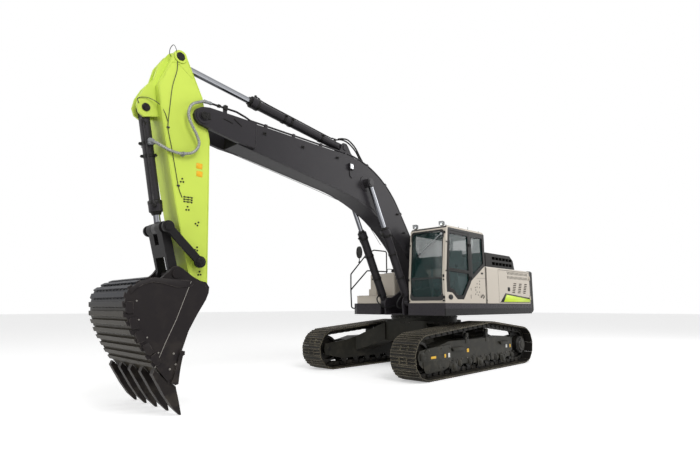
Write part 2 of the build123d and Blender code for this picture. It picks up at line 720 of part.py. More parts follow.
def grown(outline, amount):
    """A convex outline with each corner moved away from its middle by about an amount."""
    x_mid = sum(point[0] for point in outline) / len(outline)
    z_mid = sum(point[1] for point in outline) / len(outline)
    moved = []
    for x, z in outline:
        reach = hypot(x - x_mid, z - z_mid)
        moved.append((x + (x - x_mid) / reach * amount, z + (z - z_mid) / reach * amount))
    return moved


def front_plane_plate(points, x_low, x_high, mode=Mode.ADD):
    """A plate cut to an outline given as (y, z), between two x planes."""
    with BuildSketch(Plane.YZ.offset(x_low)) as outline:
        with BuildLine():
            Polyline(*points, close=True)
        make_face()
    extrude(outline.sketch, amount=x_high - x_low, mode=mode)


door_gap = 8.0
with BuildPart() as cab_shell:
    side_plate(cab_outline, cab_inner, cab_outer)
    fillet(cab_shell.edges().filter_by(Axis.Y).group_by(Axis.Z)[-1], 45)
    side_plate(cab_inside, cab_inner + cab_wall, cab_outer - cab_wall, mode=Mode.SUBTRACT)
    front_plane_plate(front_window, 1000, house_front + 60, mode=Mode.SUBTRACT)
    front_plane_plate(rear_window, cab_rear - 5, cab_rear + cab_wall + 5, mode=Mode.SUBTRACT)
    side_plate(rear_side_window, cab_outer - cab_wall - 5, cab_outer + 5, mode=Mode.SUBTRACT)
    side_plate(right_window, cab_inner - 5, cab_inner + cab_wall + 5, mode=Mode.SUBTRACT)
    side_plate(grown(door_outline, door_gap), cab_outer - cab_wall - 5, cab_outer + 5, mode=Mode.SUBTRACT)
    plan_plate(roof_window, cab_roof - cab_wall - 5, cab_roof + 5, mode=Mode.SUBTRACT)
save(cab_shell, "cab_shell")


def pane(points, y_low, y_high):
    side_plate(grown(points, -1.0), y_low, y_high)


with BuildPart() as cab_glass:
    glass_y = cab_outer - 20
    pane(rear_side_window, glass_y - glass_thickness, glass_y)
    glass_y = cab_inner + 20
    pane(right_window, glass_y, glass_y + glass_thickness)
    y_low, y_high = front_window[0][0] + fit_gap, front_window[1][0] - fit_gap
    side_plate([(1190.0, 1600.0 + fit_gap), (1203.0, 2000.0), (1106.0, 3040.0 - fit_gap),
                (1106.0 - glass_thickness, 3040.0 - fit_gap), (1203.0 - glass_thickness, 2000.0),
                (1190.0 - glass_thickness, 1600.0 + fit_gap)], y_low, y_high)
    front_plane_plate(grown(rear_window, -1.0), cab_rear + 20, cab_rear + 20 + glass_thickness)
    plan_plate(grown(roof_window, -1.0), cab_roof - 40, cab_roof - 40 + glass_thickness)
save(cab_glass, "cab_glass")

lower_hinge_z = 2000.0
hinge_axis_x = door_rear - 12.0
hinge_axis_y = cab_outer + 16.0
window_upper = [(door_rear + 70, 2200.0), (door_front - 45, 2230.0), (door_front - 118, door_top - 65),
                (door_rear + 70, door_top - 65)]
window_lower = [(door_rear + 70, 1975.0), (492.0, door_bottom + 82), (700.0, door_bottom + 82),
                (885.0, door_bottom + 212), (door_front - 70, door_bottom + 236), (door_front - 42, 2160.0),
                (door_rear + 70, 2130.0)]
with BuildPart() as cab_door:
    side_plate(door_outline, cab_outer - door_thickness, cab_outer)
    side_plate(window_upper, cab_outer - door_thickness - 5, cab_outer + 5, mode=Mode.SUBTRACT)
    side_plate(window_lower, cab_outer - door_thickness - 5, cab_outer + 5, mode=Mode.SUBTRACT)
    for z in (lower_hinge_z, door_top - 300):
        with BuildSketch(Plane.XY.offset(z)):
            with Locations((hinge_axis_x, hinge_axis_y)):
                Circle(13)
            with Locations(((hinge_axis_x + door_rear + 40) / 2, hinge_axis_y - 8)):
                Rectangle(door_rear + 40 - hinge_axis_x, 16)
        extrude(amount=70)
save(cab_door, "cab_door")

with BuildPart() as door_glass:
    glass_y = cab_outer - 20
    pane(window_upper, glass_y - glass_thickness, glass_y)
    pane(window_lower, glass_y - glass_thickness, glass_y)
save(door_glass, "door_glass")

cab_middle = (cab_inner + cab_outer) / 2
seat_floor = cab_floor + 60 + fit_gap
with BuildPart() as seat:
    block((80, 480), (cab_middle - 180, cab_middle + 180), (seat_floor, seat_floor + 260))
    side_plate([(40, seat_floor + 260), (560, seat_floor + 260), (580, seat_floor + 330),
                (540, seat_floor + 400), (40, seat_floor + 380)], cab_middle - 255, cab_middle + 255)
    side_plate([(40, seat_floor + 260), (100, seat_floor + 380), (0, seat_floor + 1000),
                (-90, seat_floor + 1000), (-60, seat_floor + 300)], cab_middle - 245, cab_middle + 245)
    side_plate([(-10, seat_floor + 1000), (-20, seat_floor + 1180), (-90, seat_floor + 1180),
                (-80, seat_floor + 1000)], cab_middle - 140, cab_middle + 140)
save(seat, "seat")

with BuildPart() as consoles:
    for side in (1, -1):
        low, high = sorted((cab_middle + side * 268, cab_middle + side * 388))
        side_plate([(0, seat_floor), (430, seat_floor), (560, seat_floor + 480), (560, seat_floor + 540),
                    (0, seat_floor + 540)], low, high)
        with BuildSketch(Plane.XY.offset(seat_floor + 540)):
            with Locations((500, cab_middle + side * 328)):
                Circle(22)
        extrude(amount=190)
    for side in (1, -1):
        block((820, 850), (cab_middle + side * 90 - 12, cab_middle + side * 90 + 12), (seat_floor,
                                                                                       seat_floor + 480))
        block((860, 1060), (cab_middle + side * 120 - 50, cab_middle + side * 120 + 50), (seat_floor,
                                                                                          seat_floor + 40))
save(consoles, "consoles")

# ---------------------------------------------------------------- right platform
tank_x = (housing_front + move_gap, 420.0)
tank_side = (-house_side + 12, -560.0)
tank_top = 2240.0
tank_wall = 50.0
with BuildPart() as fuel_tank:
    block(tank_x, tank_side, (deck_top + fit_gap, tank_top))
    fillet(fuel_tank.edges().filter_by(Axis.Z), 60)
    fillet(fuel_tank.faces().sort_by(Axis.Z)[-1].edges(), 40)
    block((tank_x[0] + tank_wall, tank_x[1] - tank_wall), (tank_side[0] + tank_wall,
                                                           tank_side[1] - tank_wall),
          (deck_top + tank_wall, tank_top - tank_wall), mode=Mode.SUBTRACT)
    with BuildSketch(Plane.XY.offset(tank_top)):
        with Locations((0, -900)):
            Circle(70)
    extrude(amount=45)
save(fuel_tank, "fuel_tank")

box_x = (tank_x[1] + move_gap, 1095.0)
box_side = (-1237.0, -455.0)
box_top = 1640.0
box_wall = 25.0
lid_plate = 24.0
lid_knuckle = lid_plate / 2
lid_hinge = (822.0, box_top + fit_gap + lid_knuckle)
lid_clear = 6.0
fixed_front = lid_hinge[0] - lid_knuckle - lid_clear
with BuildPart() as toolbox:
    block(box_x, box_side, (deck_top + fit_gap, box_top))
    fillet(toolbox.edges().filter_by(Axis.Z).sort_by(Axis.X)[-2:], 40)
    block((box_x[0] + box_wall, box_x[1] - box_wall), (box_side[0] + box_wall, box_side[1] - box_wall),
          (deck_top + box_wall, box_top - box_wall), mode=Mode.SUBTRACT)
    block((lid_hinge[0] + box_wall, box_x[1] - box_wall), (box_side[0] + box_wall, box_side[1] - box_wall),
          (box_top - box_wall - 5, box_top + 5), mode=Mode.SUBTRACT)
    # fixed rear part of the top, with the small filter box on it
    block((box_x[0], fixed_front), box_side, (box_top - 5, box_top + lid_plate))
    block((650.0, 790.0), (-1097.0, -859.0), (box_top, 1834.0))
save(toolbox, "toolbox")

with BuildPart() as toolbox_lid:
    block((lid_hinge[0], box_x[1] + 8), (box_side[0] - 5, box_side[1] + 5),
          (box_top + fit_gap, box_top + fit_gap + lid_plate))
    fillet(toolbox_lid.edges().filter_by(Axis.Z).sort_by(Axis.X)[-2:], 42)
    cross_round(lid_hinge, lid_knuckle, box_side[0] - 5, box_side[1] + 5)
save(toolbox_lid, "toolbox_lid")

rail_radius = 17.0
step_depth = 88.0
step_plate = 10.0
step_z = deck_bottom + 40.0
step_x = (250.0, 640.0)
with BuildPart() as steps:
    # non-slip tread on the fixed top, and the folded step on the platform's outer side
    with BuildSketch(Plane.XY.offset(box_top + lid_plate + fit_gap)):
        with Locations((545, (box_side[0] + box_side[1]) / 2)):
            Rectangle(150, 700)
            with GridLocations(50, 70, 3, 10):
                Circle(13, mode=Mode.SUBTRACT)
    extrude(amount=8)
    outer = -house_side - fit_gap
    block(step_x, (outer - step_depth, outer), (step_z, step_z + step_plate))
    for x in (step_x[0], step_x[1] - step_plate):
        front_plane_plate([(outer, step_z), (outer - step_depth, step_z), (outer - step_depth, step_z + 35),
                           (outer, step_z + 150)], x, x + step_plate)
save(steps, "steps")


def tube(points, radius, bend):
    """A bent round tube through points given in space."""
    with BuildLine() as route:
        FilletPolyline(*points, radius=bend)
    start = route.line @ 0
    heading = route.line % 0
    with BuildSketch(Plane(origin=start, z_dir=heading)) as section:
        Circle(radius)
    sweep(section.sketch, path=route.line)


rail_y = -1440.0
rail_front = 1092.0
rail_rear = -330.0
slant_low = (rail_front, 2214.0)
slant_high = (470.0, 2790.0)
with BuildPart() as handrails:
    tube([(890, rail_y, 1345), (1065, rail_y, 1370), (rail_front, rail_y, 1800),
          (slant_low[0], rail_y, slant_low[1]), (slant_high[0], rail_y, slant_high[1]), (200, rail_y, 2905),
          (rail_rear, rail_y, 2912), (rail_rear, rail_y, 1600)], rail_radius, 60)
    tube([(rail_front - 4, rail_y, 1815), (1035, rail_y, 1868), (472, rail_y, 2335), (rail_rear, rail_y,
                                                                                      2351)],
         rail_radius, 50)
    # feet on the platform's side and on the tank's
    block((870, 930), (rail_y - 10, -house_side - fit_gap), (1320, 1372))
    for z in (1620, 2120):
        block((rail_rear - 25, rail_rear + 25), (rail_y - 8, tank_side[0] - fit_gap), (z, z + 50))
save(handrails, "handrails")

clamp_x = 735.0                         # the mirror's clamp, on the rail's slanted run
slant_fall = (slant_high[1] - slant_low[1]) / (slant_low[0] - slant_high[0])
clamp_z = slant_low[1] + (slant_low[0] - clamp_x) * slant_fall
mirror_z = 2805.0
mirror_y = rail_y - 38.0
with BuildPart() as mirrors:
    with BuildSketch(Plane.XZ.offset(-mirror_y - 25)):
        with Locations((clamp_x, mirror_z)):
            Ellipse(92, 158)
    extrude(amount=50)
    cross_round((clamp_x, clamp_z), 26, mirror_y - 14, rail_y - rail_radius - fit_gap)
    with BuildSketch(Plane.XY.offset(clamp_z)):
        with Locations((clamp_x, mirror_y)):
            Circle(12)
    extrude(amount=mirror_z - 120 - clamp_z)
save(mirrors, "mirrors")

with BuildPart() as work_lamps:
    for y in (cab_inner + 55, cab_outer - 175):
        lamp_rear = cab_roof_front - 100
        block((lamp_rear, lamp_rear + 40), (y - 30, y + 30), (cab_roof + fit_gap, cab_roof + 30))
        side_plate([(lamp_rear - 5, cab_roof + 25), (lamp_rear + 62, cab_roof + 22),
                    (lamp_rear + 74, cab_roof + 112), (lamp_rear - 5, cab_roof + 105)], y - 52, y + 52)
save(work_lamps, "work_lamps")

motor_x = bay_rear - 210.0
with BuildPart() as swing_motor:
    with BuildSketch(Plane.XY.offset(deck_top + fit_gap)):
        with Locations((motor_x, 0)):
            Circle(160)
    extrude(amount=330)
    with BuildSketch(Plane.XY.offset(deck_top + 330)):
        with Locations((motor_x, 0)):
            Circle(110)
    extrude(amount=230)
save(swing_motor, "swing_motor")

# ---------------------------------------------------------------- boom
top_kink = (1870.0, 4530.0)
top_kink_radius = 2150.0
under_kink = (2060.0, 3578.0)
under_kink_radius = 3900.0
boom_box_end = 5545.0


def boom_outline(inset, end):
    """Side outline of the boom's box, moved in by an amount and closed at a distance forward."""
    def top_line(x):
        return 4530.0 - inset + (x - top_kink[0]) * 0.0085

    def under_line(x):
        return under_kink[1] + inset + (x - under_kink[0]) * 0.1531

    rear_slope = radians(54.5)
    under_slope = radians(50.3)
    slide = inset / sin(rear_slope)
    slide_under = inset / sin(under_slope)
    upper_foot = (boom_foot[0] - 120 + slide, boom_foot[1] + 118)
    lower_foot = (boom_foot[0] + 135 - slide_under, boom_foot[1] - 95)
    upper = (upper_foot[0] + (top_line(top_kink[0]) - upper_foot[1]) / tan(rear_slope),
             top_line(top_kink[0]))
    lower = (lower_foot[0] + (under_line(under_kink[0]) - lower_foot[1]) / tan(under_slope),
             under_line(under_kink[0]))
    return upper_foot, upper, (end, top_line(end)), (end, under_line(end)), lower, lower_foot


def boom_face(inset, end, foot_cut):
    """Face of the boom's side with both bends as arcs."""
    upper_foot, upper, nose_top, nose_under, lower, lower_foot = boom_outline(inset, end)
    if foot_cut:
        upper_foot = between(upper_foot, upper, foot_cut)
        lower_foot = between(lower_foot, lower, foot_cut)
    with BuildSketch(Plane.XZ, mode=Mode.PRIVATE) as face:
        with BuildLine():
            upper_line = FilletPolyline(upper_foot, upper, nose_top, radius=top_kink_radius - inset)
            Line(upper_line @ 1, nose_under)
            lower_line = FilletPolyline(nose_under, lower, lower_foot, radius=under_kink_radius + inset)
            Line(lower_line @ 1, upper_foot)
        make_face()
    return face.sketch


boom_cyl_boss = 95.0
fork_outline = [
    (5230.0, 4548.0), (6120.0, 4552.0), (6250.0, 4526.0), (6345.0, 4462.0), (6378.0, 4380.0), (6352.0,
                                                                                               4296.0),
    (6272.0, 4234.0), (6110.0, 4202.0), (5618.0, 4118.0), (5230.0, 4090.0),
]
with BuildPart() as boom:
    extrude(Pos(0, boom_half, 0) * boom_face(0.0, boom_box_end, 0.0), amount=2 * boom_half)
    extrude(Pos(0, boom_half - boom_wall, 0) * boom_face(boom_wall, boom_box_end - boom_wall, 330.0),
            amount=2 * (boom_half - boom_wall), mode=Mode.SUBTRACT)
    # foot boss across the full width, fork plates with their boss rings, and the rod pin's bosses
    cross_round(boom_foot, boom_foot_radius, -bracket_inner + side_gap, bracket_inner - side_gap)
    cross_round(boom_foot, pin_radius + fit_gap, -bracket_inner, bracket_inner, mode=Mode.SUBTRACT)
    for side in (1, -1):
        low, high = sorted((side * fork_inner, side * fork_outer))
        side_plate(fork_outline, low, high)
        low, high = sorted((side * (boom_half - 5), side * (fork_inner + 5)))
        side_plate([(5230.0, 4540.0), (boom_box_end, 4540.0), (boom_box_end, 4130.0), (5230.0, 4095.0)],
                   low, high)
        low, high = sorted((side * fork_inner, side * (fork_outer + 12)))
        cross_round(boom_tip, boom_tip_radius - 40, low, high)
        cross_round(boom_tip, pin_radius + fit_gap, low - 5, high + 5, mode=Mode.SUBTRACT)
        low, high = sorted((side * boom_half, side * (boom_cyl_side - boom_eye_half - side_gap)))
        cross_round(boom_cyl_head, boom_cyl_boss, low, high)
        # doubler plates round the pin's boss and at the foot
        low, high = sorted((side * (boom_half - 3), side * (boom_half + 12)))
        cross_round(boom_cyl_head, boom_cyl_boss + 75, low, high)
    # bracket for the arm cylinder's foot
    for side in (1, -1):
        low, high = sorted((side * (cyl_eye_half + side_gap), side * (cyl_eye_half + side_gap + 40)))
        side_plate([(2480, 4480), (3200, 4515), (3060, 4600), (2980, 4710), (2965, 4790), (2915, 4838),
                    (2825, 4838), (2775, 4790), (2690, 4660)], low, high)
        cross_round(arm_cyl_foot, small_pin_radius + fit_gap, low - 5, high + 5, mode=Mode.SUBTRACT)
save(boom, "boom")

with BuildPart() as boom_pins:
    cross_round(boom_tip, pin_radius, -fork_outer - 30, fork_outer + 30)
    for side in (1, -1):
        low, high = sorted((side * (fork_outer + 12), side * (fork_outer + 26)))
        cross_round(boom_tip, pin_radius + 24, low, high)
    pin_end = cyl_eye_half + side_gap + 40
    cross_round(arm_cyl_foot, small_pin_radius, -pin_end - 16, pin_end + 16)
    for side in (1, -1):
        low, high = sorted((side * pin_end, side * (pin_end + 16)))
        cross_round(arm_cyl_foot, small_pin_radius + 18, low, high)
save(boom_pins, "boom_pins")

pipe_radius = 17.0
pipe_rise = 38.0                        # from the boom's top plate to a pipe's middle
pipe_start = 420.0                      # along the rear slope, from the boom's foot
pipe_clamps = (0.10, 0.24, 0.38, 0.50, 0.62, 0.74, 0.86, 0.97)   # shares of the run to the boom's tip
inner_pipe = 150.0
outer_pipe = 200.0
inner_pipe_turn = 38.0                  # degrees round the kink to the arm cylinder's hoses
fork_pipe = 255.0                       # sideways place of the outer pipes beside the boom's tip
with BuildPart() as boom_pipes:
    upper_foot, upper, nose_top, nose_under, lower, lower_foot = boom_outline(-pipe_rise, 5150.0)
    pipe_foot = between(upper_foot, upper, pipe_start)
    slope_turn = atan2(upper[1] - pipe_foot[1], upper[0] - pipe_foot[0])
    bend_radius = top_kink_radius + pipe_rise
    slope_end = hypot(upper[0] - pipe_foot[0], upper[1] - pipe_foot[1]) - bend_radius * tan(
        (slope_turn - atan2(nose_top[1] - upper[1], nose_top[0] - upper[0])) / 2)
    for side in (1, -1):
        y = side * outer_pipe
        top_length = nose_top[0] - upper[0]
        straight = (nose_top[0] + 150, nose_top[1] + 150 * (nose_top[1] - upper[1]) / top_length)
        with BuildLine() as route:
            over_kink = FilletPolyline((pipe_foot[0], y, pipe_foot[1]), (upper[0], y, upper[1]),
                                       (nose_top[0], y, nose_top[1]), radius=bend_radius)
            FilletPolyline(over_kink @ 1, (straight[0], y, straight[1]), (5440, side * fork_pipe, 4606),
                           (5616, side * fork_pipe, 4645), (6120, side * fork_pipe, 4641), radius=60)
        start = route.line @ 0
        with BuildSketch(Plane(origin=start, z_dir=route.line % 0)) as section:
            Circle(pipe_radius)
        sweep(section.sketch, path=route.line)
        with BuildSketch(Plane(origin=(6085, side * fork_pipe, 4641), x_dir=(0, 1, 0), z_dir=(1, 0, 0))):
            RegularPolygon(25, 6)
        extrude(amount=55)
        low, high = sorted((side * (fork_pipe - 20), side * (fork_pipe + 20)))
        side_plate([(5800, 4555), (5860, 4555.5), (5855, 4664), (5805, 4664)], low, high)
        # clamps with flat feet on the boom's top plate
        for share in pipe_clamps:
            at, along = over_kink @ share, over_kink % share
            corners = []
            for run, rise in ((-26, 0.5 - pipe_rise), (26, 0.5 - pipe_rise), (26, 24), (-26, 24)):
                corners.append((at.X + along.X * run - along.Z * rise,
                                at.Z + along.Z * run + along.X * rise))
            inner = inner_pipe if share < 0.40 else outer_pipe
            low, high = sorted((side * (inner - 24), side * (outer_pipe + 22)))
            side_plate(corners, low, high)
        y = side * inner_pipe
        with BuildLine(Plane.XZ.offset(-y)) as route:
            slope_line = Line(pipe_foot, between(pipe_foot, upper, slope_end))
            JernArc(start=between(pipe_foot, upper, slope_end), tangent=(cos(slope_turn), sin(slope_turn)),
                    radius=bend_radius, arc_size=-inner_pipe_turn)
        with BuildSketch(Plane(origin=route.line @ 0, z_dir=route.line % 0)) as section:
            Circle(pipe_radius)
        sweep(section.sketch, path=route.line)
save(boom_pipes, "boom_pipes")

lamp_face = boom_half + 59.0
with BuildPart() as boom_lamp:
    side_plate([(2725, 4100), (2800, 4060), (2850, 4110), (2865, 4235), (2800, 4245), (2735, 4170)],
               boom_half + fit_gap, boom_half + 16)
    side_plate([(2785, 4232), (2893, 4240), (2898, 4362), (2790, 4366)], boom_half + 8, lamp_face)
save(boom_lamp, "boom_lamp")

# ---------------------------------------------------------------- arm
arm_top_radius = 108.0
arm_rear = [(6522.0, 5288.0), (6220.0, 4700.0), (6062.0, 4040.0), (6030.0, 3180.0), (5985.0, 1730.0)]
arm_front = [(6230.0, 1660.0), (6380.0, 2180.0), (6530.0, 2780.0), (6750.0, 3740.0), (6866.0, 4300.0),
             (6930.0, 4690.0), (6770.0, 5110.0), (6712.0, 5300.0)]
# the two lugs between the side plates, from the top pin down to the bucket cylinder's foot
lug_outline = [(6560.0, 5335.0), (6690.0, 5330.0), (6760.0, 5285.0), (6905.0, 5040.0), (6960.0, 4800.0),
               (7070.0, 4640.0), (7150.0, 4470.0), (7178.0, 4320.0), (7140.0, 4215.0), (7060.0, 4172.0),
               (6960.0, 4205.0), (6845.0, 4230.0), (6790.0, 4800.0), (6560.0, 5100.0)]
with BuildPart() as arm:
    side_plate(arm_rear + arm_front, -arm_half, arm_half)
    inside = [(6300.0, 4800.0), (6150.0, 4600.0), (6082.0, 4040.0), (6052.0, 3180.0), (6030.0, 2300.0),
              (6385.0, 2300.0), (6515.0, 2800.0), (6732.0, 3745.0), (6846.0, 4305.0), (6905.0, 4690.0),
              (6863.0, 4800.0)]
    side_plate(inside, -arm_half + arm_wall, arm_half - arm_wall, mode=Mode.SUBTRACT)
    cross_round(boom_tip, boom_tip_radius, -arm_half, arm_half)
    cross_round(arm_cyl_head, arm_top_radius, -arm_half, arm_half)
    cross_round(bucket_pin, 125, -arm_half, arm_half)
    side_plate([(6200.0, 5500.0), (6290.0, 5000.0), (6450.0, 4930.0), (6860.0, 4930.0), (7000.0, 5500.0)],
               -cyl_eye_half - side_gap, cyl_eye_half + side_gap, mode=Mode.SUBTRACT)
    cross_round(boom_tip, pin_radius + fit_gap, -arm_half - 5, arm_half + 5, mode=Mode.SUBTRACT)
    cross_round(bucket_pin, small_pin_radius + fit_gap, -arm_half - 5, arm_half + 5, mode=Mode.SUBTRACT)
    for side in (1, -1):
        low, high = sorted((side * arm_half, side * (guide_inner - side_gap)))
        cross_round(link_arm, 70, low, high)
        low, high = sorted((side * (cyl_eye_half + side_gap), side * (cyl_eye_half + side_gap + 40)))
        side_plate(lug_outline, low, high)
        cross_round(bucket_cyl_foot, small_pin_radius + fit_gap, low - 5, high + 5, mode=Mode.SUBTRACT)
        low, high = sorted((side * (arm_half - 5), side * (arm_half + 8)))
        cross_round(arm_cyl_head, pin_radius + 12, low, high)
    cross_round(link_arm, small_pin_radius + fit_gap, -guide_inner, guide_inner, mode=Mode.SUBTRACT)
save(arm, "arm")

with BuildPart() as arm_pins:
    cross_round(link_arm, small_pin_radius, -guide_outer - 10, guide_outer + 10)
    for side in (1, -1):
        low, high = sorted((side * (guide_outer + side_gap), side * (guide_outer + 16)))
        cross_round(link_arm, small_pin_radius + 20, low, high)
    cross_round(bucket_cyl_foot, small_pin_radius, -pin_end - 16, pin_end + 16)
    for side in (1, -1):
        low, high = sorted((side * pin_end, side * (pin_end + 16)))
        cross_round(bucket_cyl_foot, small_pin_radius + 18, low, high)
save(arm_pins, "arm_pins")

# ---------------------------------------------------------------- cylinders
def cylinder_plane(foot, head, side_y):
    """Plane whose normal runs from the foot pin to the rod's pin, with its x axis along Y."""
    length = hypot(head[0] - foot[0], head[1] - foot[1])
    heading = ((head[0] - foot[0]) / length, 0, (head[1] - foot[1]) / length)
    return Plane(origin=(foot[0], side_y, foot[1]), x_dir=(0, 1, 0), z_dir=heading), length


# name, kind, foot pin, rod pin, sideways place, foot pin's radius
cylinders = [
    ("boom_cylinder_left", "boom", boom_cyl_foot, boom_cyl_head, boom_cyl_side, pin_radius),
    ("boom_cylinder_right", "boom", boom_cyl_foot, boom_cyl_head, -boom_cyl_side, pin_radius),
    ("arm_cylinder", "arm", arm_cyl_foot, arm_cyl_head, 0.0, small_pin_radius),
    ("bucket_cylinder", "bucket", bucket_cyl_foot, link_top, 0.0, small_pin_radius),
]
for name, kind, foot, head, side_y, pin in cylinders:
    tube_radius, head_radius, rod_radius, eye_half, tube_start, gland, rod_start = cylinder_sizes[kind]
    line_plane, length = cylinder_plane(foot, head, side_y)
    with BuildPart() as barrel:
        with BuildSketch(line_plane.offset(tube_start)):
            Circle(tube_radius)
        extrude(amount=gland - head_length - tube_start)
        with BuildSketch(line_plane.offset(gland - head_length)):
            Circle(head_radius)
        extrude(amount=head_length)
        with BuildSketch(line_plane):
            Rectangle(2 * eye_half, 2 * neck_half)
        extrude(amount=tube_start)
        cross_round(foot, pin + 38, side_y - eye_half, side_y + eye_half)
        with BuildSketch(line_plane.offset(tube_start + 25)):
            Circle(rod_radius + fit_gap)
        extrude(amount=gland - tube_start, mode=Mode.SUBTRACT)
        cross_round(foot, pin + fit_gap, side_y - 200, side_y + 200, mode=Mode.SUBTRACT)
    save(barrel, name + "_barrel")
    with BuildPart() as rod:
        with BuildSketch(line_plane.offset(rod_start)):
            Circle(rod_radius)
        extrude(amount=length - rod_start)
        cross_round(head, pin_radius + 38, side_y - eye_half, side_y + eye_half)
        if kind == "boom":
            low, high = sorted((side_y, side_y * (boom_cyl_side + eye_half + 16) / boom_cyl_side))
            cross_round(head, pin_radius + 14, low, high)
    save(rod, name + "_rod")

# ---------------------------------------------------------------- bucket links
rod_slot = cyl_eye_half + side_gap
guide_heading = degrees(atan2(link_top[1] - link_arm[1], link_top[0] - link_arm[0]))
guide_reach = hypot(link_top[1] - link_arm[1], link_top[0] - link_arm[0])
with BuildPart() as guide_links:
    for side in (1, -1):
        low, high = sorted((side * guide_inner, side * guide_outer))
        with BuildSketch(Plane.XZ.offset(-low)):
            with Locations(Location((link_arm[0], link_arm[1], 0), (0, 0, guide_heading))):
                with Locations((0, 0), (guide_reach, 0)):
                    Circle(88)
                with Locations((guide_reach / 2, 0)):
                    Rectangle(guide_reach, 118)
            with Locations(link_arm):
                Circle(small_pin_radius + fit_gap, mode=Mode.SUBTRACT)
        extrude(amount=low - high)
        # this link's half of the top pin, ending beside the power link
        low, high = sorted((side * (power_half + 2 * side_gap), side * (guide_outer + 14)))
        cross_round(link_top, small_pin_radius + 12, low, high)
save(guide_links, "guide_links")

power_heading = degrees(atan2(bucket_link[1] - link_top[1], bucket_link[0] - link_top[0]))
power_reach = hypot(bucket_link[1] - link_top[1], bucket_link[0] - link_top[0])
with BuildPart() as power_link:
    with BuildSketch(Plane.XZ.offset(-power_half)):
        with Locations(Location((link_top[0], link_top[1], 0), (0, 0, power_heading))):
            with Locations((0, 0), (power_reach, 0)):
                Circle(92)
            with Locations((power_reach / 2, 0)):
                Rectangle(power_reach, 130)
    extrude(amount=2 * power_half)
    # slots beside the arm's end and round the rod's eye, which leave the cross-piece of the H
    slot_plane = Plane(origin=(link_top[0], 0, link_top[1]), x_dir=(0, 1, 0),
                       z_dir=(cos(radians(power_heading)), 0, sin(radians(power_heading))))
    with BuildSketch(slot_plane.offset(-120)):
        Rectangle(2 * rod_slot, 300)
    extrude(amount=120 + 235, mode=Mode.SUBTRACT)
    with BuildSketch(slot_plane.offset(power_reach - 270)):
        Rectangle(2 * (power_half - 75), 300)
    extrude(amount=270 + 120, mode=Mode.SUBTRACT)
    cross_round(bucket_link, small_pin_radius + fit_gap, -power_half - 5, power_half + 5,
                mode=Mode.SUBTRACT)
save(power_link, "power_link")

# ---------------------------------------------------------------- bucket
bucket_top = [(6300.0, 1500.0), (6262.0, 1600.0), (6322.0, 1712.0), (6450.0, 1762.0)]
bucket_back = [
    (7020.0, 1812.0), (7200.0, 1745.0), (7335.0, 1640.0), (7372.0, 1480.0), (7350.0, 1280.0), (7240.0,
                                                                                               1030.0),
    (7050.0, 740.0), (6960.0, 620.0),
]
bucket_lip = (6760.0, 420.0)
bucket_mouth = [(6700.0, 470.0), (6610.0, 840.0), (6530.0, 1090.0), (6420.0, 1300.0)]
bucket_hollow_top = [(6325.0, 1500.0), (6292.0, 1600.0), (6340.0, 1690.0), (6455.0, 1736.0)]
bucket_hollow_mouth = [(6740.0, 436.0), (6400.0, 300.0), (5900.0, 1000.0)]
side_cutter = [
    (6722.0, 487.0), (6640.0, 840.0), (6582.0, 823.0), (6583.0, 775.0), (6606.0, 766.0), (6630.0, 623.0),
    (6642.0, 500.0), (6648.0, 410.0), (6685.0, 399.0), (6745.0, 432.0),
]
bar_height = 28.0           # wear bars across the back
bar_width = 66.0
bar_pitch = 124.0
bar_count = 12
cutter_plate = 26.0
waist_half = 590.0          # half width of the bucket far behind its mouth
waist_reach = 900.0


def moved_in(points, amount):
    """An open line of points moved to its right-hand side by an amount, with mitred corners."""
    moved = []
    for i, (x, z) in enumerate(points):
        before = points[i - 1] if i else (2 * x - points[1][0], 2 * z - points[1][1])
        after = points[i + 1] if i + 1 < len(points) else (2 * x - points[-2][0], 2 * z - points[-2][1])
        first = atan2(z - before[1], x - before[0])
        second = atan2(after[1] - z, after[0] - x)
        half = ((second - first + pi) % (2 * pi) - pi) / 2
        heading = first + half - pi / 2
        reach = amount / cos(half)
        moved.append((x + reach * cos(heading), z + reach * sin(heading)))
    return moved


def line_length(points):
    return sum(hypot(b[0] - a[0], b[1] - a[1]) for a, b in zip(points, points[1:]))


def along_line(points, distance):
    """The point of an open line at a distance from its start."""
    for i in range(len(points) - 1):
        length = hypot(points[i + 1][0] - points[i][0], points[i + 1][1] - points[i][1])
        if distance <= length:
            return between(points[i], points[i + 1], distance)
        distance -= length
    return points[-1]


def bucket_width(half, waist):
    """Prism with the plan of the bucket: straight at the mouth, narrowing behind the cheeks' weld line."""
    weld_line = Plane(origin=(6540, 0, 1750), x_dir=(0.935, 0, 0.354), z_dir=(0.354, 0, -0.935))
    with BuildPart(mode=Mode.PRIVATE) as prism:
        with BuildSketch(weld_line):
            with BuildLine():
                Polyline((-1200, -half), (0, -half), (waist_reach, -waist), (waist_reach, waist), (0, half),
                         (-1200, half), close=True)
            make_face()
        extrude(amount=2500, both=True)
    return prism.part


def bucket_body(points, half, waist):
    """Solid of a side outline cut to the bucket's plan."""
    with BuildPart(mode=Mode.PRIVATE) as body:
        side_plate(points, -half, half)
        add(bucket_width(half, waist), mode=Mode.INTERSECT)
    return body.part


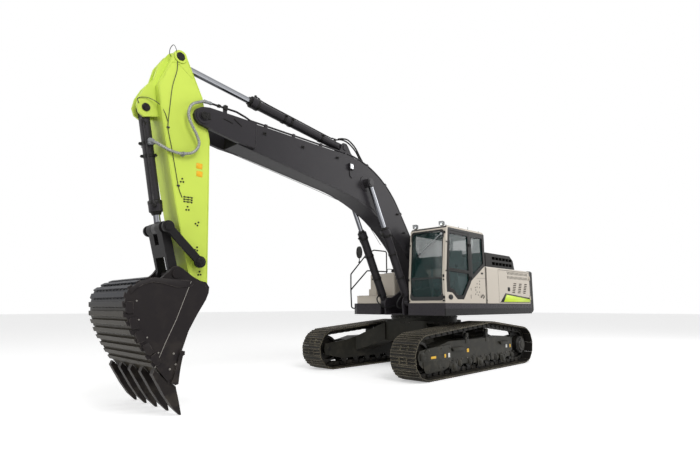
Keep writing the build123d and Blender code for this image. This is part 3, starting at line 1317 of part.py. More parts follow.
shell_back = moved_in(bucket_back, bar_height)
shell_share = line_length(shell_back) / line_length(bucket_back)
hollow_back = moved_in(bucket_back, bar_height + bucket_plate)
tooth_spacing = 2 * (bucket_half - 55) / (tooth_count - 1)
with BuildPart() as bucket:
    add(bucket_body(bucket_top + shell_back + [bucket_lip] + bucket_mouth, bucket_half, waist_half))
    for i in range(bar_count):
        distance = 70 + i * bar_pitch
        edges_out = [along_line(bucket_back, distance + u) for u in (-bar_width / 2, bar_width / 2)]
        edges_in = [along_line(shell_back, distance * shell_share + u) for u in (bar_width / 2,
                                                                                 -bar_width / 2)]
        add(bucket_body(edges_out + edges_in, bucket_half, waist_half))
    add(bucket_body(bucket_hollow_top + hollow_back + bucket_hollow_mouth, bucket_half - bucket_plate,
                    waist_half - bucket_plate), mode=Mode.SUBTRACT)
    for side in (1, -1):
        low, high = sorted((side * (bucket_half - 5), side * (bucket_half + cutter_plate)))
        side_plate(side_cutter, low, high)
        low, high = sorted((side * ear_inner, side * ear_outer))
        side_plate([(6300.0, 1520.0), (6210.0, 1560.0), (6080.0, 1535.0), (5992.0, 1610.0), (5985.0,
                                                                                             1700.0),
                    (6040.0, 1775.0), (6130.0, 1790.0), (6260.0, 1850.0), (6420.0, 1960.0), (6500.0,
                                                                                             1995.0),
                    (6580.0, 1975.0), (6630.0, 1900.0), (6760.0, 1788.0), (6450.0, 1758.0), (6322.0,
                                                                                             1705.0),
                    (6270.0, 1605.0)], low, high)
        for centre in (bucket_pin, bucket_link):
            cross_round(centre, small_pin_radius + fit_gap, low - 5, high + 5, mode=Mode.SUBTRACT)
save(bucket, "bucket")

with BuildPart() as bucket_pins:
    for centre in (bucket_pin, bucket_link):
        cross_round(centre, small_pin_radius, -ear_outer - 16, ear_outer + 16)
        for side in (1, -1):
            low, high = sorted((side * ear_outer, side * (ear_outer + 16)))
            cross_round(centre, small_pin_radius + 20, low, high)
save(bucket_pins, "bucket_pins")

tooth_side = [
    (6960.0, 620.0), (6760.0, 420.0), (6740.0, 436.0), (6668.0, 380.0), (6560.0, 6.0), (6586.0, 6.0),
    (6700.0, 118.0), (6815.0, 280.0), (6985.0, 560.0),
]
# along the tooth from the lip's corner to the tip, and half its width there
tooth_widths = [(-150.0, 12.0), (0.0, 44.0), (330.0, 47.0), (560.0, 40.0), (740.0, 22.0)]
tooth_plane = Plane(origin=(6960, 0, 620), x_dir=(-0.535, 0, -0.845), z_dir=(0.845, 0, -0.535))
with BuildPart() as bucket_teeth:
    for i in range(tooth_count):
        y = -bucket_half + 55 + i * tooth_spacing
        with BuildPart(mode=Mode.PRIVATE) as tooth:
            side_plate(tooth_side, y - 50, y + 50)
            with BuildSketch(tooth_plane):
                with BuildLine():
                    Polyline(*[(u, y + half) for u, half in tooth_widths],
                             *[(u, y - half) for u, half in reversed(tooth_widths)], close=True)
                make_face()
            extrude(amount=400, both=True, mode=Mode.INTERSECT)
        add(tooth.part)
save(bucket_teeth, "bucket_teeth")
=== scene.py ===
"""Looks of a crawler excavator of the 36 to 38 tonne class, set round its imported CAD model, in metres.

+X is forward, +Y is the cab's side and +Z is up, with the origin on the slewing axis at ground level.
"""
import bmesh
import bpy
import numpy as np
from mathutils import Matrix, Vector


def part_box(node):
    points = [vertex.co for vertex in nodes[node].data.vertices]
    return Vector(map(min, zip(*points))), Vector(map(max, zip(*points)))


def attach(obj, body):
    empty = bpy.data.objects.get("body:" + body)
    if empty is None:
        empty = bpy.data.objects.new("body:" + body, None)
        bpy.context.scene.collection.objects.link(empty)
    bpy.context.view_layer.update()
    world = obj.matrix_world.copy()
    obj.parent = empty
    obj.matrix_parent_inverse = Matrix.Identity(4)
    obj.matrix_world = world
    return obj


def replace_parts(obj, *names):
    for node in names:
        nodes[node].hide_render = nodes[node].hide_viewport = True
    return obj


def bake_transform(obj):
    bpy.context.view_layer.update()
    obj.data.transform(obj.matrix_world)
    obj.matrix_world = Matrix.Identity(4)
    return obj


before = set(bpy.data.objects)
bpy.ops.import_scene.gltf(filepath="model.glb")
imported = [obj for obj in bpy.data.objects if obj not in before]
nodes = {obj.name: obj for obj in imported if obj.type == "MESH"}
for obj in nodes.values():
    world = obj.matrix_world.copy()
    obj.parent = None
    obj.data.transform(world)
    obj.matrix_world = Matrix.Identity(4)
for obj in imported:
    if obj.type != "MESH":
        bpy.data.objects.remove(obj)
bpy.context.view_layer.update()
scene = bpy.context.scene

# ------------------------------------------------------------------ camera, light and floor
# A studio: a wide lens near the ground ahead of the cab's corner, a pale floor and soft lamps, with the
# key lamp high on the cab's side and weaker ones ahead and behind.
def added(name, data):
    """Object made of some data, in the scene."""
    obj = bpy.data.objects.new(name, data)
    scene.collection.objects.link(obj)
    return obj


camera_heading, camera_rise = -2.371, 0.154
camera = added("camera", bpy.data.cameras.new("camera"))
camera.location = (9.6169, 6.8045, 1.4204)
camera.rotation_euler = (np.pi / 2 + camera_rise, 0, camera_heading - np.pi / 2)
camera.data.sensor_width = 36
camera.data.lens = 23.951
camera.data.clip_end = 400
scene.camera = camera
scene.view_settings.view_transform = "Standard"


def maths(operation, swapped=False):
    """Method of Wire that adds the Math node of an operation, its values swapped for a reflected operator."""
    def method(self, *others):
        values = (self, *others)
        if swapped:
            values = values[::-1]
        return self.finish.node("ShaderNodeMath", {"operation": operation}, values)
    return method


class Wire:
    """A node's output that Python's operators work on: each operator adds the Math node of its name."""

    def __init__(self, finish, socket):
        self.finish, self.socket = finish, socket

    __add__ = __radd__ = maths("ADD")
    __mul__ = __rmul__ = maths("MULTIPLY")
    __sub__, __rsub__ = maths("SUBTRACT"), maths("SUBTRACT", True)
    __gt__, __lt__ = maths("GREATER_THAN"), maths("LESS_THAN")
    __abs__ = maths("ABSOLUTE")
    least, most = maths("MINIMUM"), maths("MAXIMUM")

    def ramp(self, low, high, start=0, end=1):
        """Rises smoothly from start to end as the value goes from low to high."""
        return self.finish.node("ShaderNodeMapRange", {"interpolation_type": "SMOOTHSTEP"},
                                [self, low, high, start, end])


class Finish:
    """One procedural finish: a Principled shader and the nodes that feed it."""

    def __init__(self, name, **sockets):
        self.material = bpy.data.materials.new(name)
        self.material.use_nodes = True
        self.tree = self.material.node_tree
        self.shader = self.tree.nodes["Principled BSDF"]
        self.place = self.node("ShaderNodeTexCoord", {}, [], "Object")
        self.x, self.y, self.z = (self.node("ShaderNodeSeparateXYZ", {}, [self.place], axis)
                                  for axis in "XYZ")
        self.feed(**sockets)

    def node(self, kind, settings, values, out=None):
        """Adds one node: its settings first, then a value or a Wire for each input socket."""
        node = self.tree.nodes.new(kind)
        for key, value in settings.items():
            setattr(node, key, value)
        for key, value in (values.items() if isinstance(values, dict) else enumerate(values)):
            if isinstance(value, Wire):
                self.tree.links.new(value.socket, node.inputs[key])
            else:
                node.inputs[key].default_value = value
        return Wire(self, node.outputs[out] if out else next(o for o in node.outputs if o.enabled))

    def feed(self, **sockets):
        """Sets or links the shader's sockets; an underscore stands for a space."""
        for key, value in sockets.items():
            socket = self.shader.inputs[key.replace("_", " ")]
            if isinstance(value, Wire):
                self.tree.links.new(value.socket, socket)
            else:
                socket.default_value = value
        return self

    def mix(self, one, other, share):
        """Blend of two colours."""
        return self.node("ShaderNodeMix", {"data_type": "RGBA"}, {0: share, 6: one, 7: other}, 2)

    def noise(self, scale, detail=3, stretch=(1, 1, 1)):
        place = self.node("ShaderNodeMapping", {}, {"Vector": self.place, "Scale": stretch})
        return self.node("ShaderNodeTexNoise", {}, {"Vector": place, "Scale": scale, "Detail": detail}, "Fac")

    def bumped(self, height, distance, rounding=0):
        """Normal of a height pattern in metres, over edges rounded by a radius."""
        values = {"Strength": 1, "Distance": distance, "Height": height}
        if rounding:
            values["Normal"] = self.node("ShaderNodeBevel", {"samples": 4}, {"Radius": rounding})
        return self.node("ShaderNodeBump", {}, values)

    def edge(self, radius):
        """1 along the solid's edges and 0 on its faces."""
        soft = self.node("ShaderNodeBevel", {"samples": 4}, {"Radius": radius})
        flat = self.node("ShaderNodeNewGeometry", {}, [], "Normal")
        along = self.node("ShaderNodeVectorMath", {"operation": "DOT_PRODUCT"}, [soft, flat], "Value")
        return along.ramp(0.985, 0.9)


def colour(hex_value):
    """Linear RGBA of an sRGB colour written as a hex number."""
    channels = np.array([hex_value >> 16 & 255, hex_value >> 8 & 255, hex_value & 255]) / 255
    linear = np.where(channels <= 0.04045, channels / 12.92, ((channels + 0.055) / 1.055) ** 2.4)
    return (*linear.tolist(), 1)


def darker(hue, share):
    """A written colour with each channel brought down by a share."""
    return tuple(c * (1 - share) for c in colour(hue)[:3]) + (1,)


def paint(name, hue, roughness=0.38, worn=0.35, metal=0x6B6862, dust=0.25, low_dust=1.1, shine=0.5,
          rounding=0.006, base=None):
    """Machine paint: slight colour drift, orange peel, rubbed edges, and dust thicker near the ground."""
    f = Finish(name, Specular_IOR_Level=shine)
    drift = f.noise(0.9, 2)
    grime = f.noise(6, 6)
    colours = base(f) if base else f.mix(colour(hue), darker(hue, 0.12), drift.ramp(0.35, 0.7))
    dirt = (f.z.ramp(low_dust, 0, 0.12, 1) * grime.ramp(0.42, 0.72)) * dust
    colours = f.mix(colours, colour(0x8B8272), dirt)
    rub = f.edge(0.01) * f.noise(9, 4).ramp(0.42, 0.62) * worn
    f.feed(Base_Color=f.mix(colours, colour(metal), rub), Roughness=roughness + dirt * 0.4
           + (f.noise(40) - 0.5) * 0.08, Metallic=rub * 0.6, Normal=f.bumped(f.noise(220, 2), 0.0005,
        rounding))
    return f.material


def lamp(name, place, target, size, power):
    light = added(name, bpy.data.lights.new(name, "AREA"))
    light.data.size, light.data.energy = size, power
    light.location = place
    light.rotation_euler = (Vector(target) - Vector(place)).to_track_quat("-Z", "Y").to_euler()


lamp("key", (8, 12, 13), (1.5, 0, 1.5), 8, 1500)
lamp("front", (16, -4, 7), (2, 0, 2), 9, 500)
lamp("rear", (-9, 10, 8), (-1, 0, 2), 8, 600)

world = bpy.data.worlds.new("studio")
scene.world = world
world.use_nodes = True
sky = world.node_tree
rays = sky.nodes.new("ShaderNodeLightPath")
white = rays.outputs["Is Camera Ray"]
for ray in ("Is Transmission Ray", "Is Glossy Ray"):
    either = sky.nodes.new("ShaderNodeMath")
    either.operation = "MAXIMUM"
    sky.links.new(white, either.inputs[0])
    sky.links.new(rays.outputs[ray], either.inputs[1])
    white = either.outputs[0]
level = sky.nodes.new("ShaderNodeMapRange")
sky.links.new(white, level.inputs["Value"])
level.inputs["To Min"].default_value = 0.42
level.inputs["To Max"].default_value = 1
background = sky.nodes["Background"]
background.inputs["Color"].default_value = (1, 1, 1, 1)
sky.links.new(level.outputs[0], background.inputs["Strength"])

floor_mesh = bpy.data.meshes.new("floor")
floor_mesh.from_pydata([(-90, -90, 0), (90, -90, 0), (90, 90, 0), (-90, 90, 0)], [], [(0, 1, 2, 3)])
floor = added("floor", floor_mesh)
ground = Finish("floor", Base_Color=colour(0xE6E6E6), Roughness=0.9)
shown = ground.node("ShaderNodeLightPath", {}, [], "Is Camera Ray")
glossy = ground.node("ShaderNodeLightPath", {}, [], "Is Glossy Ray")
glow = ground.mix((0, 0, 0, 1), (0.45, 0.45, 0.45, 1), shown.most(glossy))
ground.feed(Emission_Color=glow, Emission_Strength=1)
floor_mesh.materials.append(ground.material)


def dress(material, *names):
    """Gives CAD nodes a finish."""
    for name in names:
        slots = nodes[name].data.materials
        slots.clear()
        slots.append(material)


# ------------------------------------------------------------------ surfaces of the undercarriage
# The helpers that the tracks need first: every later piece is made by them too. A surface is a pair
# (points, faces), points as an (n, 3) array in metres and faces as tuples of their numbers.
def joined(*surfaces):
    """One surface made of several."""
    points, faces, first = [], [], 0
    for some_points, some_faces in surfaces:
        points.append(some_points)
        faces += [tuple(i + first for i in face) for face in some_faces]
        first += len(some_points)
    return np.concatenate(points), faces


def rings(sections, closed=False):
    """Skin through rings of equal count, (n, m, 3): quads between neighbours, an n-gon at each open end."""
    sections = np.asarray(sections, float)
    count, around = sections.shape[:2]
    faces = []
    for i in range(count if closed else count - 1):
        a, b = i * around, (i + 1) % count * around
        faces += [(a + j, a + (j + 1) % around, b + (j + 1) % around, b + j) for j in range(around)]
    if not closed:
        faces += [tuple(range(around - 1, -1, -1)), tuple(range((count - 1) * around, count * around))]
    return sections.reshape(-1, 3), faces


def unit(vector):
    vector = np.asarray(vector, float)
    return vector / np.linalg.norm(vector)


def axes_of(axis):
    """Unit vector along an axis and two across it."""
    axis = unit(axis)
    side = unit(np.cross(axis, (0.31, 0.52, 0.79)))
    return axis, side, np.cross(axis, side)


def turned(profile, origin, axis, around=24):
    """Body of revolution: rings of (radius, height along the axis) round an axis through origin."""
    axis, side, up = axes_of(axis)
    angles = np.arange(around) * 2 * np.pi / around
    circle = np.cos(angles)[:, None] * side + np.sin(angles)[:, None] * up
    return rings([np.asarray(origin) + axis * height + circle * radius for radius, height in profile])


def disc(profile, origin, axis, around=24):
    """Body of revolution whose flat ends run in to the axis."""
    return turned([(0, profile[0][1]), *profile, (0, profile[-1][1])], origin, axis, around)


def slab(outline, low, high, origin=(0, 0, 0), across=(1, 0, 0), along=(0, 0, 1), through=(0, 1, 0),
         rounding=0.003):
    """Plate: an outline (u, v) between two depths, its rims drawn in towards the middle by a rounding."""
    flat = np.asarray(outline, float)
    step = flat - np.roll(flat, 1, 0)
    step /= np.linalg.norm(step, axis=1)[:, None]
    following = np.roll(step, -1, 0)
    area = np.sum(flat[:, 0] * np.roll(flat[:, 1], -1) - flat[:, 1] * np.roll(flat[:, 0], -1))
    inward = (np.stack([-step[:, 1], step[:, 0]], 1) + np.stack([-following[:, 1], following[:, 0]], 1)) / 2
    inward *= np.sign(area) / np.maximum(np.sum(inward ** 2, 1), 0.3)[:, None]
    frame_axes = np.array([across, along, through], float)
    low, high = min(low, high), max(low, high)
    sections = []
    for draw, depth in ((rounding, low), (rounding * 0.3, low + rounding * 0.3), (0, low + rounding),
                        (0, high - rounding), (rounding * 0.3, high - rounding * 0.3), (rounding, high)):
        ring = flat + inward * draw
        sections.append(np.asarray(origin) + np.column_stack([ring, np.full(len(ring), depth)]) @ frame_axes)
    return rings(sections)


def plate(outline, side, low, high, rounding=0.003):
    """Slab standing upright on one side of the middle plane, between two distances from it."""
    return slab(outline, side * low, side * high, rounding=rounding)


def hose(route, radius, around=12):
    """Round tube along a line of points: a circle carried along with the least twist, closed at both ends."""
    route = np.asarray(route, float)
    heading = np.gradient(route, axis=0)
    heading /= np.linalg.norm(heading, axis=1)[:, None]
    side = unit(np.cross(heading[0], (0.31, 0.79, 0.52)))
    angles = np.arange(around) * 2 * np.pi / around
    sections = []
    for point, ahead in zip(route, heading):
        side = unit(side - ahead * (side @ ahead))
        up = np.cross(ahead, side)
        sections.append(point + radius * (np.cos(angles)[:, None] * side + np.sin(angles)[:, None] * up))
    return rings(sections)


def eased(points, steps=8):
    """Catmull-Rom line through points, sampled between each pair."""
    points = np.asarray(points, float)
    padded = np.concatenate([[2 * points[0] - points[1]], points, [2 * points[-1] - points[-2]]])
    t = (np.arange(steps) / steps)[:, None]
    line = []
    for a, b, c, d in zip(padded, padded[1:], padded[2:], padded[3:]):
        line.append(0.5 * (2 * b + (c - a) * t + (2 * a - 5 * b + 4 * c - d) * t ** 2
                           + (3 * b - a - 3 * c + d) * t ** 3))
    return np.concatenate(line + [points[-1:]])


def bolt(place, axis, size=0.015):
    """Hexagon head with a chamfered crown on a round washer."""
    washer = turned([(0, 0), (size * 1.35, 0), (size * 1.35, size * 0.22), (size, size * 0.3)], place, axis,
                    12)
    head = turned([(size, size * 0.2), (size, size * 0.85), (size * 0.82, size), (0, size)], place, axis, 6)
    return joined(washer, head)


def piece(name, surface, material, body=None):
    """Makes an object of a surface or a list of them, shaded smooth up to 35 degrees, riding a body."""
    points, faces = joined(*surface) if isinstance(surface, list) else surface
    mesh = bpy.data.meshes.new(name)
    mesh.from_pydata(np.asarray(points).tolist(), [], faces)
    mesh.validate()
    mesh.materials.append(material)
    work = bmesh.new()
    work.from_mesh(mesh)
    bmesh.ops.remove_doubles(work, verts=work.verts, dist=1e-6)
    bmesh.ops.recalc_face_normals(work, faces=work.faces)
    work.to_mesh(mesh)
    work.free()
    mesh.shade_smooth()
    mesh.set_sharp_from_angle(angle=np.radians(35))
    obj = added(name, mesh)
    if body:
        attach(obj, body)
    return obj


# Tracks: forged chain links under rolled shoes with three grousers each, bolted on from outside.
sides = (1, "left"), (-1, "right")
gauge, pitch = 2.58, 0.212
# radius of the line of pins round an end wheel, with 10.5 links to a turn
wheel = pitch / 2 / np.sin(2 * np.pi / 21)
wheel_z = wheel + 0.09
wheel_x = 5.14 / 2 - wheel_z
round_wheels = [(wheel_x, wheel_z, wheel), (0.48, 0.8, 0.13), (-0.4, 0.86, 0.13), (-wheel_x, wheel_z, wheel)]


def reach_along(line):
    """Distance run at each point of a flat line."""
    return np.concatenate([[0], np.cumsum(np.hypot(*np.diff(line, axis=0).T))])


def chain_line(wheels):
    """Points of the line of pins: arcs round the wheels joined by their outer tangents, 2 mm apart."""
    headings = []
    for (x1, z1, r1), (x2, z2, r2) in zip(wheels, wheels[1:] + wheels[:1]):
        headings.append(np.arctan2(z2 - z1, x2 - x1) - np.arccos((r1 - r2) / np.hypot(x2 - x1, z2 - z1)))
    line = []
    for i, (x, z, r) in enumerate(wheels):
        turn = (headings[i] - headings[i - 1]) % (2 * np.pi)
        angles = headings[i - 1] + np.linspace(0, turn, max(int(turn * r / 0.002), 2))
        line.append(np.stack([x + r * np.cos(angles), z + r * np.sin(angles)], 1))
    return np.concatenate(line + [line[0][:1]])


def spots(line, at):
    """Points of a flat line at given distances along it."""
    reach = reach_along(line)
    return np.stack([np.interp(at, reach, line[:, 0]), np.interp(at, reach, line[:, 1])], -1)


line = chain_line(round_wheels)
length = reach_along(line)[-1]
shoes = round(length / pitch)
pins = spots(line, np.arange(shoes + 1) * length / shoes)
shoe_profile = [(-0.101, 0.05), (-0.107, 0.0535), (-0.105, 0.06)]
for middle in (-0.066, 0, 0.066):
    shoe_profile += [(middle - 0.019, 0.0625), (middle - 0.0125, 0.067), (middle - 0.0085, 0.086),
                     (middle - 0.0055, 0.0895), (middle + 0.0055, 0.0895), (middle + 0.0085, 0.086),
                     (middle + 0.0125, 0.067), (middle + 0.019, 0.0625)]
shoe_profile = np.array(shoe_profile + [(0.106, 0.06), (0.129, 0.0525), (0.129, 0.0445), (0.101, 0.05)])


def half_link(u, angles):
    """Outline round one eye of a link."""
    return [(u + 0.048 * np.cos(a), 0.046 * np.sin(a) - 0.002) for a in np.radians(angles)]


link_outline = (half_link(-0.106, [100, 130, 165, 200, 235, 262]) + [(-0.05, -0.055), (0.05, -0.055)]
                + half_link(0.106, [-82, -50, -15, 20, 50, 80]) + [(0.06, 0.05), (-0.06, 0.05)])


def placed(surface, origin, ahead, outward):
    """Moves a surface made as (along, y, outward) to a place on the chain."""
    points, faces = surface
    return np.asarray(origin) + points @ np.array([ahead, (0, 1, 0), outward], float), faces


def shoe_surface():
    """One shoe: the profile swept across, its grousers sloping down over the last 22 mm at each end."""
    sections = []
    for y, share in ((-0.3, 0), (-0.297, 0.35), (-0.278, 1), (-0.1, 1), (0.1, 1), (0.278, 1), (0.297, 0.35),
                     (0.3, 0)):
        height = np.where(shoe_profile[:, 1] > 0.0625, 0.0625 + (shoe_profile[:, 1] - 0.0625) * share,
                          shoe_profile[:, 1])
        sections.append(np.column_stack([shoe_profile[:, 0], np.full(len(height), y), height]))
    return rings(sections)


shoe = joined(shoe_surface(), *[bolt((u, y, 0.0625), (0, 0, 1), 0.013) for u in (-0.033, 0.033)
                                for y in (-0.085, 0.085)])
link = joined(*[slab(link_outline, rail - 0.022, rail + 0.022, rounding=0.004) for rail in (-0.078, 0.078)])
shoe_finish = Finish("shoe_steel", Specular_IOR_Level=0.2)
tips = shoe_finish.edge(0.012) * shoe_finish.noise(2.5, 3).ramp(0.3, 0.7, 0.45, 1)
shoe_finish.feed(Base_Color=shoe_finish.mix(colour(0x1B1917), colour(0x958C76), tips),
                 Roughness=0.52 - tips * 0.15, Metallic=tips * 0.4,
                 Normal=shoe_finish.bumped(shoe_finish.noise(120, 3), 0.001, 0.003))
shoe_steel = shoe_finish.material
chain_steel = paint("chain_steel", 0x181715, 0.5, 0.5, 0x77726A, 0.18, 1.2, 0.2, 0.003)
for side, name in sides:
    middle = side * gauge / 2
    plates, links = [], []
    for i in range(shoes):
        start, end = pins[i], pins[i + 1]
        ahead = unit((end[0] - start[0], 0, end[1] - start[1]))
        outward = (ahead[2], 0, -ahead[0])
        centre = ((start[0] + end[0]) / 2, middle, (start[1] + end[1]) / 2)
        plates.append(placed(shoe, centre, ahead, outward))
        links.append(placed(link, centre, ahead, outward))
        links.append(disc([(0.02, -0.118), (0.022, -0.115), (0.022, -0.05), (0.031, -0.049), (0.031, 0.049),
                           (0.022, 0.05), (0.022, 0.115), (0.02, 0.118)], (start[0], middle, start[1]),
                          (0, 1, 0), 12))
    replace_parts(piece("track_shoes_" + name, plates, shoe_steel, "undercarriage"), "track_" + name)
    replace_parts(piece("track_chain_" + name, links, chain_steel, "undercarriage"), "track_" + name)

# Carbody and track frames: welded plate sprayed a dark olive-grey, with cast rollers under bolted caps.
frame_paint = paint("frame_paint", 0x2B2A25, 0.45, 0.35, 0x6E6A60, 0.1, 1.2, 0.16)
dress(frame_paint, "carbody", "track_frame_left", "track_frame_right", "slew_ring")
cast = paint("cast_steel", 0x1A1918, 0.42, 0.7, 0x8D8980, 0.16, 1, 0.22)
dress(cast, "idler_left", "idler_right", "sprocket_left", "sprocket_right", "lower_rollers_left",
      "lower_rollers_right", "carrier_rollers_left", "carrier_rollers_right")
roller_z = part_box("lower_rollers_left")[0].z + 0.104
roller_xs = -1.6 + 0.4 * np.arange(9)
patch_yellow = Finish("patch_yellow", Base_Color=colour(0xE8B62C), Roughness=0.5).material
patch_white = Finish("patch_white", Base_Color=colour(0xD8D8D4), Roughness=0.5).material
# blank patches on the frames' faces: middle (x, z), width, height and colour
patches = [(1.8, 0.425, 0.17, 0.045, patch_yellow), (1.39, 0.432, 0.055, 0.075, patch_yellow),
           (1.245, 0.432, 0.065, 0.085, patch_white), (0.46, 0.474, 0.085, 0.075, patch_yellow),
           (-1.343, 0.462, 0.075, 0.08, patch_white), (-1.537, 0.457, 0.055, 0.075, patch_yellow)]
for side, name in sides:
    face = gauge / 2 + 0.165
    outer = side * face
    out = (0, side, 0)
    caps, bolts = [], []
    for x in roller_xs:
        caps.append(disc([(0.072, 0), (0.072, 0.012), (0.06, 0.02), (0.052, 0.02), (0.044, 0.032),
                          (0.02, 0.038)], (x, outer, roller_z), out, 20))
        for dx in (-0.1, 0.1):
            bolts.append(bolt((x + dx, outer, 0.315), out, 0.016))
    caps.append(disc([(0.095, 0), (0.095, 0.012), (0.075, 0.025), (0.04, 0.03)], (wheel_x, outer, wheel_z),
                     out, 24))
    for x in (1.06, -0.02, -1.08):
        caps.append(plate([(x - 0.14, 0.3), (x - 0.11, 0.13), (x - 0.07, 0.098), (x + 0.07, 0.098),
                           (x + 0.11, 0.13), (x + 0.14, 0.3)], side, face + 0.012, face + 0.028, 0.004))
        caps.append(turned([(0, 0), (0.068, 0), (0.068, 0.014), (0.045, 0.03), (0, 0.034)],
                           (x, outer + side * 0.026, 0.19), out, 20))
        bolts += [bolt((x + dx, outer + side * 0.028, 0.275), out, 0.014) for dx in (-0.09, 0.09)]
    for x, z in ((0.48, 0.8), (-0.4, 0.86)):
        caps.append(disc([(0.046, 0), (0.046, 0.01), (0.03, 0.016)], (x, outer, z), out, 20))
        bolts += [bolt((x + dx, outer, 0.735), out, 0.014) for dx in (-0.035, 0.035)]
        caps.append(plate([(x - 0.085, 0.62), (x + 0.085, 0.62), (x + 0.062, 0.712), (x - 0.062, 0.712)],
                          side, face - 0.02, face + 0.01, 0.003))
    # guard over the idler, folded along two lines, and the adjuster's and tie-down covers behind it
    guard = [(1.16, 0.235), (1.42, 0.155), (2.05, 0.135), (2.105, 0.19), (2.135, 0.29), (2.135, 0.44),
             (2.09, 0.54), (1.98, 0.605), (1.52, 0.625), (1.16, 0.635)]
    caps.append(plate(guard, side, face + 0.012, face + 0.026, 0.005))
    for z in (0.365, 0.478):
        caps.append(plate([(1.3, z - 0.012), (2.12, z - 0.01), (2.12, z + 0.01), (1.3, z + 0.012)], side,
                          face + 0.02, face + 0.034, 0.005))
    for x0, x1, z0, z1 in ((0.68, 1.13, 0.5, 0.566), (-1.38, -0.96, 0.525, 0.585)):
        caps.append(plate([(x0, z0), (x1 - 0.05, z0 - 0.006), (x1, z1 - 0.02), (x1, z1), (x0, z1)], side,
                          face - 0.004, face + 0.05, 0.01))
    bolts += [bolt((x, outer + side * 0.026, z), out, 0.013) for x, z in
              ((1.21, 0.3), (1.21, 0.58), (1.45, 0.205), (1.98, 0.19), (1.95, 0.56), (1.52, 0.575))]
    bolts += [bolt((-wheel_x + 0.185 * np.cos(a), side * (face + 0.005), wheel_z + 0.185 * np.sin(a)), out,
                   0.014) for a in np.arange(16) * np.pi / 8]
    caps.append(disc([(0.09, 0), (0.085, 0.01), (0.05, 0.014)], (-wheel_x, side * (face + 0.04), wheel_z),
                     out, 24))
    piece("frame_caps_" + name, caps, frame_paint, "undercarriage")
    piece("frame_bolts_" + name, bolts, cast, "undercarriage")
    for number, (x, z, wide, high, which) in enumerate(patches):
        lift = 0.0262 if x > 1.2 else 0.0002
        outline = [(x - wide / 2, z - high / 2), (x + wide / 2, z - high / 2), (x + wide / 2, z + high / 2),
                   (x - wide / 2, z + high / 2)]
        patch = plate(outline, side, face + lift, face + lift + 0.0013, 0.0004)
        piece("frame_patch_%s_%d" % (name, number), patch, which, "undercarriage")
tower_bolts = [bolt((0.7955 * np.cos(a), 0.7955 * np.sin(a), z), (np.cos(a), np.sin(a), 0), 0.014)
               for a in np.arange(36) * np.pi / 18 for z in (1.03, 1.16)]
piece("tower_bolts", tower_bolts, cast, "undercarriage")

# ------------------------------------------------------------------ revolving house
# Folded deck and cast counterweight in glossy charcoal, thin panels over the engine in a warm light grey, and
# a slotted hood. Seams, latches and the blank accent panels are added where the real sheets meet.
def deck_colours(f):
    """Charcoal, with painted shade under the fold along the deck's sides."""
    # near-black strip just under the fold on the deck's sides: painted shade
    under = (abs(f.y) > 1.385) * f.z.ramp(1.372, 1.352)
    return f.mix(colour(0x343135), colour(0x0F0F0F), under * 0.85)


def house_colours(f):
    """Light panels, black round the rear corner."""
    return f.mix(colour(0xC6BDB0), colour(0x191817), (f.x < -2.982) * (f.z < 2.34))


def door_colours(f):
    """Light outer face, near black inside and in the slots' cut edges: painted shade in the recesses."""
    # every face set back from the outer face is painted shade
    return f.mix(colour(0xC6BDB0), colour(0x181716), abs(f.y) < 1.4095)


def panel_paint(name, base=None):
    """The panels' warm light grey, alone or as a pattern of colours."""
    return paint(name, 0xC6BDB0, 0.3, 0.12, 0x8F8A80, 0.1, 1.8, 0.4, base=base)


deck_paint = paint("deck_paint", 0x343135, 0.28, 0.2, 0x6E6B68, 0.06, 1.6, 0.14, base=deck_colours)
trim_black = paint("trim_black", 0x1F1E1D, 0.36, 0.2, 0x5A5856, 0.06, 1.6, 0.14)
panel_grey = panel_paint("panel_grey")
house_paint = panel_paint("house_paint", house_colours)
side_door_paint = panel_paint("side_door_paint", door_colours)
dress(deck_paint, "deck_frame", "house_pins", "swing_motor", "engine_block", "exhaust")
dress(trim_black, "counterweight", "hood", "handrails", "mirrors", "steps")
dress(house_paint, "engine_house")
dress(side_door_paint, "service_door_left", "service_door_right")
dress(panel_grey, "fuel_tank", "toolbox", "toolbox_lid")
accent = paint("accent_lime", 0xC9E42F, 0.34, 0.1, 0x7D8A3A, 0.05, 1.6, 0.4)
recess = Finish("shadowed_recess", Base_Color=colour(0x121212), Roughness=0.6).material
# the outer face of doors and panels, as a distance from the middle plane
house_side = 1.412


def round_box(low_u, low_v, high_u, high_v, radius, steps=6):
    """Outline of a rectangle with round corners."""
    corners = ((high_u, low_v, -90), (high_u, high_v, 0), (low_u, high_v, 90), (low_u, low_v, 180))
    outline = []
    for u, v, start in corners:
        angles = np.radians(start + np.linspace(0, 90, steps))
        outline += [(u - np.sign(u - (low_u + high_u) / 2) * radius + radius * np.cos(a),
                     v - np.sign(v - (low_v + high_v) / 2) * radius + radius * np.sin(a)) for a in angles]
    return outline


